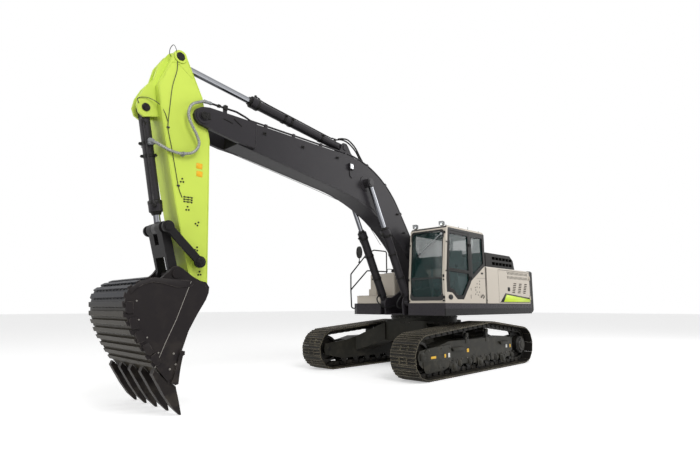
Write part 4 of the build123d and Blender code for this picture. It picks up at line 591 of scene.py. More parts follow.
for side, name in sides:
    door = "service_door_" + name
    piece("accent_border_" + name, plate([(-1.255, 1.513), (-1.524, 1.732), (-2.956, 1.63), (-2.956, 1.513)],
                                         side, house_side, house_side + 0.003, 0.0008), trim_black, door)
    piece("accent_panel_" + name, plate([(-1.425, 1.517), (-1.575, 1.697), (-2.952, 1.594), (-2.952, 1.517)],
                                        side, house_side + 0.0028, house_side + 0.0055, 0.0008), accent, door)
    # paddle latch on its dish with a key lock, and the pressed lip over each louvre
    dish = plate(round_box(-1.79, 1.785, -1.66, 1.885, 0.014), side, house_side, house_side + 0.004, 0.0015)
    piece("latch_dish_" + name, dish, recess, door)
    paddle = plate(round_box(-1.775, 1.8, -1.7, 1.87, 0.01), side, house_side + 0.004, house_side + 0.013,
                   0.003)
    key = disc([(0.011, 0), (0.011, 0.008), (0.008, 0.01)], (-1.68, side * (house_side + 0.004), 1.835),
               (0, side, 0), 16)
    piece("latch_" + name, joined(paddle, key), trim_black, door)
    bars = []
    for foot, top in ((-1.99, -2.085), (-2.307, -2.412), (-2.625, -2.738)):
        for i in range(6):
            x, z = foot + (top - foot) * i / 5, 1.745 + 0.046 * i
            blade = [(x - 0.084, z + 0.021), (x + 0.076, z + 0.021), (x + 0.078, z + 0.03),
                     (x - 0.086, z + 0.03)]
            bars.append(plate(blade, side, house_side - 0.006, house_side + 0.007, 0.003))
    piece("louvre_lips_" + name, bars, panel_grey, door)

# seams, plugs and fixings of the panel between the cab and the engine door, on the cab's side
seam = [(-0.12, 2.042), (-0.59, 2.06), (-0.59, 2.064), (-0.12, 2.046)]
upright_seam = [(-0.588, 1.9), (-0.584, 1.9), (-0.584, 2.33), (-0.588, 2.33)]
upper_stop = [(0.15, 1.76), (0.158, 1.76), (0.156, 1.82), (0.148, 1.82)]
lower_stop = [(0.16, 1.58), (0.168, 1.58), (0.166, 1.67), (0.158, 1.67)]
marks = [slab(strip, house_side - 0.001, house_side + 0.0012, rounding=0.0005)
         for strip in (seam, upright_seam)]
marks += [slab(strip, house_side, house_side + 0.005, rounding=0.001) for strip in (upper_stop, lower_stop)]
for x, z in ((-0.249, 1.982), (-0.243, 1.915), (-0.237, 1.838), (-0.129, 1.921), (-0.122, 1.844),
             (-0.06, 1.777), (-0.113, 1.73), (-0.228, 1.733), (-0.052, 1.682), (-0.164, 1.665),
             (-0.046, 1.833), (-0.586, 1.551)):
    marks.append(disc([(0.015, 0), (0.015, 0.003)], (x, house_side - 0.0015, z), (0, 1, 0), 10))
hook = hose(eased([(-0.4, house_side - 0.005, 1.585), (-0.4, house_side + 0.02, 1.63),
                   (-0.36, house_side + 0.028, 1.665), (-0.31, house_side + 0.028, 1.665),
                   (-0.28, house_side + 0.02, 1.63), (-0.28, house_side - 0.005, 1.6)], 5), 0.009, 8)
grip = slab(round_box(-0.42, 2.15, -0.33, 2.186, 0.012), house_side, house_side + 0.012, rounding=0.004)
piece("panel_marks", marks, recess, "house")
piece("panel_fixings", joined(hook, grip), trim_black, "house")

# ------------------------------------------------------------------ cab
# Pressed steel cab: front frame, corner and roof in light paint, side frames and door in black, a dark lining
# inside, and tinted safety glass with printed black edges. Two-piece screen, wiper, work lamps and fixings.
def cab_colours(f):
    """Light paint, black round the door above a line falling from the hood to its foot, dark inside."""
    front = (f.z * 0.025 + 1.168).least(1.419 - f.z * 0.1006)
    inside = (f.y > 0.482) * (f.y < 1.403) * (f.z < 3.13) * (f.x < front - 0.018)
    line = ((0.46 - f.x) * 1.171 + 1.57).least((0.11 - f.x) * 0.582 + 1.98)
    line = line.most(1.57).most(((f.x - 0.72) * 0.65 + 1.57).least(1.71))
    side = (f.y > 1.38) * (f.x < front - 0.07) * (f.z > line) * (f.z < 3.105)
    side = side.most((f.y < 0.5) * (f.x < front - 0.07) * (f.z > 1.62) * (f.z < 3.105))
    side = side.most((f.x < -0.52) * (f.z < 3.105))
    return f.mix(colour(0xC6BDB0), colour(0x191716), side.most(inside))


cab_paint = paint("cab_paint", 0xC6BDB0, 0.32, 0.06, 0x8F8A80, 0.05, 1.8, 0.18, base=cab_colours)
dress(cab_paint, "cab_shell")
door_black = paint("door_black", 0x181716, 0.34, 0.1, 0x4A4846, 0.04, 1.8, 0.14)
trim = paint("cab_trim", 0x17191B, 0.65, 0.05, 0x45454A, 0.02, 1.8, 0.2)
dress(door_black, "cab_door")
seat_cloth = paint("seat_cloth", 0x66777B, 0.7, 0.05, 0x7D8A8E, 0.02, 1.8, 0.3)
dress(seat_cloth, "seat", "consoles")
glass = Finish("tinted_glass", Base_Color=(0.008, 0.04, 0.038, 1), Roughness=0.03, Alpha=0.34,
               Specular_IOR_Level=0.5)
dress(glass.material, "cab_glass", "door_glass")
rubber = Finish("rubber", Base_Color=colour(0x141414), Roughness=0.55).material
bright = paint("bright_metal", 0xA5A8AA, 0.25, 0.1, 0x8F9092, 0.03, 1.6, 0.4)
lamp_case = paint("lamp_case", 0x55575A, 0.35, 0.1, 0x8F9092, 0.03, 1.6, 0.3)
dress(lamp_case, "work_lamps")


def screen_x(z):
    """Front face of the cab: nearly upright below 2 m and leaning back above."""
    return np.minimum(1.168 + 0.025 * np.asarray(z), 1.419 - 0.1006 * np.asarray(z))


def printed_edge(outer, inner, place, thick):
    """Band of some thickness between two outlines of equal count, on a face given by place(u, v, depth)."""
    loops = []
    for outline, depth in ((outer, 0), (outer, thick), (inner, thick), (inner, 0)):
        loops.append([place(u, v, depth) for u, v in outline])
    return rings(loops, closed=True)


def on_screen(y, z, depth):
    return (float(screen_x(z)) + depth, y, z)


edge = printed_edge(round_box(0.503, 1.53, 1.367, 3.057, 0.07, 10), round_box(0.545, 1.612, 1.325, 3.015,
    0.095, 10), on_screen, 0.004)
split_profile = ((-0.016, -0.012), (-0.016, 0.004), (0.016, 0.004), (0.016, -0.012))
split = rings([[on_screen(y, 2.006 + rise, depth) for rise, depth in split_profile] for y in (0.535, 1.335)])
piece("screen_edge", joined(edge, split), rubber, "house")

# wiper parked from the screen's upper corner: motor boss, sprung arm and blade
pivot = np.array(on_screen(1.3, 2.955, 0.02))
tip = np.array(on_screen(0.8, 2.57, 0.022))
boss = disc([(0.03, 0), (0.03, 0.014), (0.018, 0.022)], pivot - (0.02, 0, 0), (1, 0, 0.1), 16)
arm_line = [pivot, pivot + (tip - pivot) * 0.3 + (0.012, 0, 0), pivot + (tip - pivot) * 0.62 + (0.01, 0, 0),
            tip + (0.004, 0, 0)]
piece("wiper_arm", joined(boss, hose(eased(arm_line, 6), 0.007, 8)), bright, "house")
blade_run = unit(tip - pivot)
blade = hose([tip - blade_run * 0.34 - (0.004, 0, 0), tip + blade_run * 0.14 - (0.004, 0, 0)], 0.008, 8)
piece("wiper_blade", blade, rubber, "house")


def pad(u, v, wide, high, radius):
    """Outline with round corners about a middle, given its half sizes."""
    return round_box(u - wide, v - high, u + wide, v + high, radius, 4)


# hinges, striker, grab handle and stops on the front frame, and the oval vent in the lower corner
fittings = []
for y, z, wide, high in ((1.388, 2.045, 0.035, 0.06), (1.388, 1.965, 0.03, 0.035), (1.385, 1.6, 0.04, 0.06),
                         (1.372, 1.53, 0.05, 0.03), (0.488, 1.985, 0.025, 0.06), (0.49, 2.76, 0.02, 0.035),
                         (0.49, 1.525, 0.02, 0.03), (1.388, 2.985, 0.04, 0.05)):
    fittings.append(slab(pad(y, z, wide / 2, high / 2, 0.006), float(screen_x(z)) - 0.004,
                         float(screen_x(z)) + 0.018, (0, 0, 0), (0, 1, 0), (0, 0, 1), (1, 0, 0), 0.004))
oval = [(1 + 0.085 * np.cos(a), 1.605 + 0.055 * np.sin(a)) for a in np.radians(np.arange(0, 360, 12))]
fittings.append(slab(oval, 1.409, 1.421, rounding=0.004))
fittings.append(hose(eased([(1.165, 1.408, 2.15), (1.172, 1.455, 2.19), (1.16, 1.468, 2.45),
                            (1.132, 1.468, 2.72), (1.122, 1.452, 2.76), (1.118, 1.408, 2.79)], 6), 0.011, 10))
piece("cab_fittings", fittings, trim_black, "house")

# lamp lenses, the studs along the roof's edges and the beacon
lenses = []
for y in (0.53, 1.235):
    lenses.append(slab(round_box(y - 0.043, 3.158, y + 0.043, 3.244, 0.012, 5), 1.026, 1.0325, (0, 0, 0),
                       (0, 1, 0), (0, 0, 1), (1, 0, 0), 0.002))
lens_glass = Finish("lamp_lens", Base_Color=colour(0xE9EDF0), Roughness=0.08, Metallic=0.5,
                    Specular_IOR_Level=0.8).material
piece("lamp_lenses", lenses, lens_glass, "house")
studs = []
for x, y, high in ((1.02, 1.36, 0.035), (0.83, 0.55, 0.035), (0.52, 1.37, 0.035), (0.12, 1.37, 0.075),
                   (-0.36, 1.37, 0.03), (-0.36, 0.53, 0.03)):
    studs.append(disc([(0.022, 0), (0.022, 0.006), (0.009, 0.012), (0.007, high)], (x, y, 3.1405), (0, 0, 1),
                      12))
piece("roof_studs", studs, bright, "house")
beacon = turned([(0, 0), (0.05, 0), (0.05, 0.015), (0.04, 0.02), (0.038, 0.06), (0.025, 0.075), (0, 0.078)],
                (-0.3, 0.72, 3.141), (0, 0, 1), 20)
piece("roof_beacon", beacon, Finish("beacon", Base_Color=colour(0xC66A1E), Roughness=0.15).material, "house")

# controls inside the cab: the monitor's case and the knobs of the two levers
screen_case = slab(round_box(-0.11, -0.075, 0.11, 0.075, 0.014), 0, 0.03, (0.93, 1.28, 2.22), (0.5, 0, 0),
                   (0, 0, 1), (0.35, -0.94, 0), 0.006)
knobs = [turned([(0, 0), (0.018, 0), (0.026, 0.03), (0.024, 0.07), (0.012, 0.085), (0, 0.087)],
                (0.5, 0.9425 + side * 0.328, 2.26), (0, 0, 1), 14) for side in (1, -1)]
piece("cab_controls", joined(screen_case, *knobs), trim, "house")

# Right platform: grip plates with pressed studs on the tank and on the toolbox's lid, and the fuel filler's
# cap under its guard rail.
def grip_plate(low_x, low_y, high_x, high_y, z):
    """Thin tread plate with rounded corners and a field of round studs 60 mm apart."""
    sheet = slab(round_box(low_x, low_y, high_x, high_y, 0.02, 4), 0, 0.004, (0, 0, z), (1, 0, 0), (0, 1, 0),
                 (0, 0, 1), 0.001)
    xs, ys = np.arange(low_x + 0.04, high_x - 0.03, 0.06), np.arange(low_y + 0.04, high_y - 0.03, 0.06)
    studs = [turned([(0, 0), (0.014, 0), (0.01, 0.0035), (0, 0.004)], (x, y, z + 0.0035), (0, 0, 1), 8)
             for x in xs for y in ys]
    return joined(sheet, *studs)


piece("tank_grip", grip_plate(-0.5, -1.32, -0.06, -0.66, 2.2855), trim_black, "house")
piece("lid_grip", grip_plate(0.84, -1.18, 1.07, -0.52, 1.6645), trim_black, "toolbox_lid")
cap_profile = [(0, 0), (0.075, 0), (0.075, 0.012), (0.058, 0.02), (0.058, 0.04), (0.064, 0.046),
               (0.064, 0.066), (0.054, 0.076), (0, 0.078)]
rail_route = [(0.05, -0.92, 2.285), (0.05, -0.92, 2.33), (0.07, -0.91, 2.36), (0.25, -0.91, 2.36),
              (0.27, -0.92, 2.33), (0.27, -0.92, 2.285)]
filler = [turned(cap_profile, (0.16, -0.8, 2.284), (0, 0, 1), 28), hose(eased(rail_route, 6), 0.009, 8)]
piece("fuel_filler", filler, trim_black, "house")

# ------------------------------------------------------------------ boom, arm and bucket
# Welded box boom in charcoal and arm in lime, with fillet welds along their corners, bolted brackets and caps
# over the pins; the digging parts are a browner black, rubbed at their edges.
charcoal = paint("charcoal", 0x302E31, 0.34, 0.25, 0x6E6B68, 0.05, 1.6, 0.14)
lime = paint("lime", 0xCBE05A, 0.36, 0.15, 0x8D9A4A, 0.05, 1.6, 0.2)
link_paint = paint("link_paint", 0x1E1D1E, 0.42, 0.3, 0x6E6B68, 0.05, 1.6, 0.12)


def digging_colours(f):
    """Cheeks near black; the shell's back and its bars browner, going bluish towards the top."""
    half = 0.771 - ((f.x - 6.54) * 0.935 + (f.z - 1.75) * 0.354).most(0) * 0.2056
    back = (abs(f.y) < half) * (f.x > 6.88)
    return f.mix(colour(0x1F1B1C), f.mix(colour(0x37332C), colour(0x24262C), f.z.ramp(1.25, 1.6)), back)


digging = paint("digging_steel", 0x1F1B1C, 0.48, 0.5, 0x77706A, 0.12, 1.4, 0.14, 0.004, base=digging_colours)
dress(charcoal, "boom", "boom_pins", "boom_pipes", "boom_lamp", "arm_pins", "boom_cylinder_left_barrel",
      "boom_cylinder_right_barrel", "arm_cylinder_barrel", "bucket_cylinder_barrel")
dress(link_paint, "guide_links", "power_link")
dress(digging, "bucket", "bucket_pins")
dress(paint("tooth_steel", 0x211D1C, 0.45, 0.8, 0x77706A, 0.12, 1.4, 0.14, 0.004), "bucket_teeth")
dress(lime, "arm")
fitting_steel = paint("fitting_steel", 0x8D9093, 0.3, 0.2, 0xA0A0A0, 0.05, 1.6, 0.4)


def weld(route, radius):
    """Weld bead: a tube whose radius swells and shrinks by an eighth along its length."""
    points, faces = hose(route, radius, 6)
    rows = points.reshape(-1, 6, 3)
    swell = 1 + 0.12 * np.sin(np.arange(len(rows)) * 2.1)[:, None, None]
    middle = rows.mean(1, keepdims=True)
    return (middle + (rows - middle) * swell).reshape(-1, 3), faces


def run(points, y):
    """Points about every 20 mm along an open line given as (x, z), at one y."""
    points = np.asarray(points, float)
    length = reach_along(points)[-1]
    flat = spots(points, np.linspace(0, length, max(int(length / 0.02), 3)))
    return np.insert(flat, 1, y, axis=1)


def collar(profile, origin, axis, around=28):
    """Ring: a closed outline of (radius, height along the axis) carried round the axis."""
    axis, side, up = axes_of(axis)
    sections = []
    for a in np.arange(around) * 2 * np.pi / around:
        radial = np.cos(a) * side + np.sin(a) * up
        sections.append([np.asarray(origin) + axis * h + radial * r for r, h in profile])
    return rings(sections, closed=True)


def swung(points, x, z, turn):
    """Points (u, v) turned by an angle and moved to (x, z)."""
    c, s = np.cos(turn), np.sin(turn)
    return [(x + u * c - v * s, z + u * s + v * c) for u, v in points]


def pin_cap(x, y, z, side, radius):
    """Retaining plate over a pin's end: a chamfered disc with three bolts."""
    cover = disc([(radius, 0), (radius, 0.008), (radius - 0.004, 0.012)], (x, y, z), (0, side, 0), 32)
    heads = [bolt((x + radius * 0.55 * np.cos(a), y + side * 0.012, z + radius * 0.55 * np.sin(a)),
                  (0, side, 0), 0.01) for a in np.radians((90, 210, 330))]
    return joined(cover, *heads)


# distances of the boom's webs, of its fork and of the arm's webs from the middle plane, where weld beads run
boom_face, fork_face, arm_face = 0.2262, 0.2905, 0.2222
boom_under = [(1.35, 2.83), (1.75, 3.24), (2.15, 3.52), (2.6, 3.65), (3.5, 3.8), (5.54, 4.105)]
fork_under = [(5.24, 4.1), (5.62, 4.125), (6.11, 4.208), (6.27, 4.24)]
fork_rear = [(5.235, 4.54), (5.235, 4.1)]
beads, brackets, caps = [], [], []
for side in (1, -1):
    for seam, y, radius in ((boom_under, boom_face, 0.005), (fork_under, fork_face, 0.006),
                            (fork_rear, fork_face, 0.006)):
        beads.append(weld(run(seam, side * y), radius))
    for x, z in ((5.01, 4.434), (4.132, 4.408), (3.213, 4.409), (1.273, 3.508), (1.05, 3.1)):
        brackets.append(plate(pad(x, z, 0.035, 0.022, 0.008), side, 0.224, 0.238, 0.003))
        brackets.append(turned([(0, 0), (0.013, 0), (0.013, 0.02), (0.018, 0.024), (0.018, 0.034),
                                (0, 0.036)], (x, side * 0.238, z), (0, side, 0), 12))
    for x, z, turn in ((5.78, 4.425, 0.2), (5.6, 4.45, 0.5)):
        brackets.append(plate(swung([(-0.09, -0.008), (0.09, -0.008), (0.09, 0.008), (-0.09, 0.008)], x, z,
                                    turn), side, 0.289, 0.3, 0.003))
    caps.append(pin_cap(6.22, side * 0.328, 4.38, side, 0.062))
    # keeper plate beside the fork's pin, and hose clamp blocks stacked on the pipe bracket
    brackets.append(plate([(6.1, 4.35), (6.145, 4.335), (6.165, 4.445), (6.12, 4.46)], side, 0.3015, 0.318,
                          0.004))
    brackets.append(plate(round_box(5.795, 4.6, 5.865, 4.685, 0.012, 4), side, 0.238, 0.29, 0.006))
    brackets += [bolt((5.83, side * y, 4.684), (0, 0, 1), 0.009) for y in (0.252, 0.276)]
    brackets.append(plate(round_box(5.92, 4.618, 5.975, 4.664, 0.01, 4), side, 0.238, 0.284, 0.005))
piece("boom_welds", beads, charcoal, "boom")
piece("boom_brackets", brackets, trim_black, "boom")
piece("boom_pin_caps", caps, trim_black, "boom")
lens = slab(round_box(2.798, 4.248, 2.886, 4.352, 0.012, 5), 0.2836, 0.2875, rounding=0.002)
piece("boom_lamp_lens", lens, lens_glass, "boom")

# arm: corner welds, lug welds, pin caps, grease manifold with its thin lines, and threes of tapped bosses
arm_rear = [(6.5, 5.22), (6.235, 4.7), (6.078, 4.04), (6.046, 3.18), (6.004, 1.85)]
arm_front = [(6.245, 1.8), (6.364, 2.18), (6.514, 2.78), (6.734, 3.74), (6.85, 4.3), (6.912, 4.68),
             (6.755, 5.1)]
lug_front = [(6.93, 4.7), (6.76, 5.096), (6.693, 5.133), (6.621, 5.11)]
lug_rear = [(6.621, 5.11), (6.406, 4.962)]
beads, bosses, caps, lines = [], [], [], []
for side in (1, -1):
    for seam, radius in ((arm_rear, 0.005), (arm_front, 0.005), (lug_front, 0.006), (lug_rear, 0.004)):
        beads.append(weld(run(seam, side * arm_face), radius))
    for x, z, turn in ((6.482, 3.285, 0), (6.372, 2.87, 0), (6.205, 2.66, 0.7), (6.196, 2.27, 0.3),
                       (6.125, 1.9, 0)):
        for u, v in swung([(0, 0.034), (-0.02, -0.012), (0.02, -0.016)], x, z, turn):
            bosses.append(disc([(0.013, 0), (0.013, 0.01), (0.009, 0.013)], (u, side * 0.2215, v),
                               (0, side, 0), 10))
    caps.append(collar([(0.066, 0), (0.104, 0), (0.1, 0.01), (0.07, 0.01)], (6.62, side * 0.2295, 5.245),
                       (0, side, 0), 36))
    for row in range(3):
        z = 3.045 - row * 0.036
        lines.append(hose([(6.455 - 0.006 * row, side * 0.23, z), (6.39, side * 0.231, z + 0.006),
                           (6.3, side * 0.23, z + 0.012)], 0.0045, 6))
        for x in (6.43, 6.37, 6.31):
            bosses.append(bolt((x, side * 0.2225, z + 0.004), (0, side, 0), 0.01))
    feed = [(6.681, 5.251), (6.664, 5.133), (6.665, 4.988), (6.719, 4.723), (6.739, 4.415), (6.751, 4.134),
            (6.744, 4.018), (6.681, 3.781), (6.6, 3.45), (6.53, 3.17), (6.47, 3.03)]
    lines.append(hose(eased([(x, side * (0.2285 if i else 0.236), z) for i, (x, z) in enumerate(feed)], 4),
                      0.0055, 6))
    for x, z in ((6.748, 4.06), (6.538, 3.202)):
        lines.append(plate(pad(x, z, 0.022, 0.012, 0.005), side, 0.221, 0.239, 0.003))
    if side > 0:
        lines.append(hose(eased([(6.681, 0.236, 5.251), (6.707, 0.24, 5.344), (6.749, 0.235, 5.388),
                                 (6.785, 0.215, 5.321), (6.781, 0.19, 5.251), (6.745, 0.17, 5.22)], 6),
                          0.0055, 6))
        lines.append(hose(eased([(6.751, 0.2285, 4.134), (6.79, 0.228, 4.23), (6.829, 0.222, 4.307),
                                 (6.892, 0.18, 4.405), (7.007, 0.13, 4.464), (7.116, 0.119, 4.451),
                                 (7.176, 0.116, 4.407), (7.15, 0.114, 4.345)], 5), 0.0055, 6))
mark_orange = paint("mark_orange", 0xF0B428, 0.4, 0.1, 0xF0B428, 0.02, 1.6, 0.2)
marks = [slab(pad(x, z, 0.052, 0.045, 0.012), 0.2215, 0.2235, rounding=0.0005)
         for x, z in ((6.215, 3.575), (6.206, 3.45))]
piece("arm_marks", marks, mark_orange, "arm")
piece("arm_welds", beads, lime, "arm")
piece("arm_bosses", bosses, trim_black, "arm")
piece("arm_rings", caps, lime, "arm")
piece("grease_lines", lines, rubber, "arm")
arm_pins = ((6.62, 0.2305, 5.245, 0.064), (7.045, 0.121, 4.32, 0.052), (6.18, 0.361, 2.07, 0.054))
caps = [pin_cap(x, side * y, z, side, radius) for x, y, z, radius in arm_pins for side in (1, -1)]
piece("arm_pin_caps", caps, trim_black, "arm")


# Cylinders: honed barrels with clamp bands, glands drawn down by bolts, wiper rings, ports and hard lines;
# hard-chromed rods with forged eyes.
def rod_finish(name, x, z, foot, radius):
    """Chrome, painted round the eye at (x, z), with painted reflections in dark bands along its line from the
    foot.
    """
    f = Finish(name, Specular_IOR_Level=0.3)
    eye = ((f.x - x) * (f.x - x) + (f.z - z) * (f.z - z)) < 0.105 ** 2
    length = np.hypot(x - foot[0], z - foot[1])
    height = ((f.z - z) * ((x - foot[0]) / length) - (f.x - x) * ((z - foot[1]) / length)) * (1 / radius)
    # painted reflections on the chrome: a dark band beside the rod's middle line, and darkening towards both
    # rims
    low = height.ramp(0.05, 0.2) * (1 - height.ramp(0.3, 0.45)) * 0.55
    painted_reflection = (abs(height).ramp(0.55, 0.95) * 0.8).most(low)
    f.feed(Base_Color=f.mix(f.mix(colour(0xA4A6AB), colour(0x2E2F36), painted_reflection), colour(0x2C2A2C), eye),
           Metallic=1 - eye, Roughness=0.16 + eye * 0.25)
    return f.material


def barrel_fittings(name, foot, head, y, sizes, bands, out, ears=(1, -1)):
    """Bands, gland bolts, wiper ring, ports and hard line of one barrel, on the side that out points to."""
    tube_radius, head_radius, rod_radius, start, gland = sizes
    origin = np.array((foot[0], y, foot[1]))
    axis = unit((head[0] - foot[0], 0, head[1] - foot[1]))
    out = unit(np.asarray(out, float) - axis * (np.asarray(out, float) @ axis))
    across = np.cross(axis, out)

    def at(height, radius, sideways=0):
        return origin + axis * height + out * radius + across * sideways

    parts = [collar([(rod_radius + 0.0015, gland - 0.002), (rod_radius + 0.026, gland - 0.002),
                     (rod_radius + 0.026, gland + 0.03), (rod_radius + 0.016, gland + 0.036),
                     (rod_radius + 0.016, gland + 0.052), (rod_radius + 0.0015, gland + 0.052)], origin,
                    axis)]
    parts.append(collar([(tube_radius - 0.001, gland - 0.175), (head_radius - 0.002, gland - 0.165),
                         (head_radius + 0.004, gland - 0.155), (head_radius + 0.004, gland - 0.115),
                         (head_radius - 0.001, gland - 0.108)], origin, axis))
    for i in range(10):
        a = i * np.pi / 5
        spoke = (out * np.cos(a) + across * np.sin(a)) * (head_radius - 0.016)
        parts.append(bolt(origin + axis * (gland - 0.001) + spoke, axis, 0.0105))
    for height in bands:
        parts.append(collar([(tube_radius - 0.001, height - 0.022), (tube_radius + 0.01, height - 0.022),
                             (tube_radius + 0.01, height + 0.022), (tube_radius - 0.001, height + 0.022)],
                            origin, axis))
        for lean in ears:
            ear = at(height, tube_radius * 0.35, lean * (tube_radius + 0.006))
            parts.append(slab([(-0.02, -0.016), (0.02, -0.016), (0.02, 0.02), (-0.02, 0.02)], -0.004, 0.026,
                              ear, axis, out, across * lean, 0.003))
            parts.append(bolt(ear + across * lean * 0.024, across * lean, 0.011))
    low, high = start + 0.06, gland - 0.085
    for height, radius in ((low, tube_radius - 0.006), (high, head_radius - 0.006)):
        parts.append(turned([(0, 0), (0.034, 0), (0.034, 0.028), (0.024, 0.034), (0.024, 0.062), (0, 0.064)],
                            at(height, radius), out, 14))
    piece(name + "_fittings", parts, trim_black, name)
    rise = tube_radius + 0.03
    route = [at(low, tube_radius + 0.046), at(low + 0.07, tube_radius + 0.046), at(low + 0.15, rise),
             at((low + high) / 2, rise), at(high - 0.2, rise), at(high - 0.08, head_radius + 0.036),
             at(high, head_radius + 0.036)]
    piece(name + "_line", hose(eased(route, 8), 0.012, 10), charcoal, name)


boom_sizes = (0.09, 0.104, 0.052, 0.175, 1.762)
for side, name in sides:
    barrel_fittings("boom_cylinder_%s_barrel" % name, (1.07, 1.5), (2.36, 4.03), side * 0.34, boom_sizes,
                    (0.62, 1.18), (0.9, 0, -0.3), (side,))
    dress(rod_finish("boom_rod_" + name, 2.36, 4.03, (1.07, 1.5), 0.052), "boom_cylinder_%s_rod" % name)
barrel_fittings("arm_cylinder_barrel", (2.87, 4.74), (6.62, 5.245), 0, (0.086, 0.106, 0.056, 0.165, 2.33),
                (0.62, 1.42, 1.58), (0, 0, 1))
dress(rod_finish("arm_rod", 6.62, 5.245, (2.87, 4.74), 0.056), "arm_cylinder_rod")
barrel_fittings("bucket_cylinder_barrel", (7.045, 4.32), (6.7, 2.55), 0, (0.08, 0.1, 0.05, 0.165, 1.545),
                (0.52, 0.71), (0.45, 0.75, 0))
dress(rod_finish("bucket_rod", 6.7, 2.55, (7.045, 4.32), 0.05), "bucket_cylinder_rod")

# Hoses: a braided one a side from the boom's pipes round to the arm and on to the bucket cylinder, two a side
# over the kink to the arm cylinder, and black ones from the house up to the boom's pipes and its cylinders.
braid = Finish("braided_hose", Roughness=0.42, Metallic=0.35, Specular_IOR_Level=0.4)
weave = braid.noise(90, 2, (1, 1, 3))
braid.feed(Base_Color=braid.mix(colour(0x4C4E4A), colour(0xA9ABA4), weave.ramp(0.4, 0.55)),
           Normal=braid.bumped(weave, 0.002))
hose_black = paint("hose_black", 0x191919, 0.5, 0.1, 0x3A3A3A, 0.05, 1.6, 0.25)


def ferrule(place, heading, radius):
    """Crimped hose end: two swaged bands and a hexagon nut."""
    crimp = turned([(0, -0.004), (radius * 1.12, -0.004), (radius * 1.22, 0.01), (radius * 1.12, 0.022),
                    (radius * 1.22, 0.034), (radius * 1.12, 0.048), (0, 0.05)], place, heading, 16)
    nut = turned([(0, 0.05), (radius * 1.35, 0.05), (radius * 1.35, 0.078), (radius * 1.1, 0.082),
                  (0, 0.082)], place, heading, 6)
    return joined(crimp, nut)


def lead(name, route, steps, radius, around, material):
    """Hose from one body to another, its placement baked into its points and riding neither body."""
    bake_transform(piece(name, hose(eased(route, steps), radius, around), material))


for side, name in sides:
    upper = [(6.14, 0.255, 4.641), (6.215, 0.268, 4.632), (6.309, 0.3, 4.58), (6.421, 0.318, 4.508),
             (6.477, 0.322, 4.409), (6.48, 0.322, 4.287), (6.422, 0.322, 4.163), (6.344, 0.32, 4.044),
             (6.285, 0.312, 3.918), (6.31, 0.302, 3.811), (6.388, 0.29, 3.732), (6.507, 0.278, 3.694)]
    lower = [(6.507, 0.278, 3.694), (6.6, 0.272, 3.686), (6.7, 0.262, 3.7), (6.799, 0.24, 3.737),
             (6.885, 0.2, 3.785), (6.945, 0.16, 3.812)]
    upper, lower = (np.array(route) * (1, side, 1) for route in (upper, lower))
    lead("arm_hose_upper_" + name, upper, 8, 0.0225, 14, braid.material)
    lead("arm_hose_lower_" + name, lower, 8, 0.0225, 14, braid.material)
    band = [(0.0225, -0.02), (0.03, -0.02), (0.03, 0.02), (0.0225, 0.02)]
    ends = [ferrule(upper[0] + (0.02, 0, 0), (-1, 0, 0), 0.0225),
            collar(band, upper[0] + (0.05, side * 0.006, -0.004), (1, side * 0.1, -0.1), 14)]
    piece("hose_ends_" + name, ends, fitting_steel, "boom")
    band = [(0.0225, -0.014), (0.031, -0.014), (0.031, 0.014), (0.0225, 0.014)]
    clip = [plate(round_box(6.485, 3.66, 6.53, 3.728, 0.01, 4), side, 0.221, 0.25, 0.004),
            collar(band, upper[-1], (1, 0, -0.05), 16)]
    piece("hose_clip_" + name, clip, fitting_steel, "arm")
    port = [ferrule(lower[-1] + (0.035, side * -0.03, 0.012), (-0.75, side * 0.6, -0.2), 0.0225),
            slab(round_box(-0.035, -0.045, 0.035, 0.045, 0.01, 4), 0, 0.075, (6.945, side * 0.075, 3.815),
                 (1, 0, 0), (0, 0, 1), (0, side, 0), 0.006)]
    piece("hose_port_" + name, port, fitting_steel, "bucket_cylinder_barrel")
    # over the kink: black hoses from the inner pipes to the arm cylinder's ports
    for lift, y_end, start_x in ((0, 0.05, 0), (0.07, 0.125, -0.06)):
        route = [(2.372 + start_x, 0.15, 4.485 + start_x * 0.3), (2.46, 0.149, 4.56 + lift),
                 (2.56, 0.14, 4.7 + lift), (2.68, 0.13, 4.8 + lift),
                 (2.83, 0.12 + y_end * 0.2, 4.865 + lift * 0.7),
                 (2.98, 0.08 + y_end * 0.5, 4.888 + lift * 0.2), (3.09, y_end, 4.872)]
        route = np.array(route) * (1, side, 1)
        lead("kink_hose_%s_%d" % (name, lift * 100), route, 7, 0.016, 12, hose_black)
    # from the swivel in the house up to the four pipes behind the boom's foot
    for y, spread in ((0.15, 0.09), (0.2, 0.17)):
        route = np.array([(-0.07, spread, 1.6), (-0.075, spread + 0.01, 1.78), (-0.045, spread + 0.03, 2),
                          (0.05, y - 0.02, 2.17), (0.19, y, 2.28), (0.327, y, 2.41)]) * (1, side, 1)
        lead("foot_hose_%s_%d" % (name, y * 1000), route, 8, 0.019, 12, hose_black)
    # a low loop from the house's front to the port at each boom cylinder's base
    route = np.array([(0.9, 0.185, 1.42), (1.02, 0.185, 1.38), (1.16, 0.19, 1.37), (1.29, 0.215, 1.4),
                      (1.375, 0.265, 1.47), (1.385, 0.315, 1.55), (1.35, 0.338, 1.61),
                      (1.318, 0.34, 1.636)]) * (1, side, 1)
    lead("ram_hose_" + name, route, 7, 0.016, 12, hose_black)

# Bucket: the seam between cheek and shell, the doubler round the ears, weld-on shrouds along the heel with
# plug welds, and bolts at the cutters.
shell_half = 0.775


def cheek_y(x, z):
    """Half width of the shell at (x, z): full ahead of the seam, narrowing behind it by 0.185 over 0.9 m."""
    behind = (x - 6.54) * 0.935 + (z - 1.75) * 0.354
    return shell_half - np.clip(behind, 0, None) * 0.185 / 0.9


def on_cheek(points, side, out):
    """Points along a line on the cheek, a little off its surface."""
    flat = run(points, 0)
    flat[:, 1] = side * (cheek_y(flat[:, 0], flat[:, 2]) + out)
    return flat


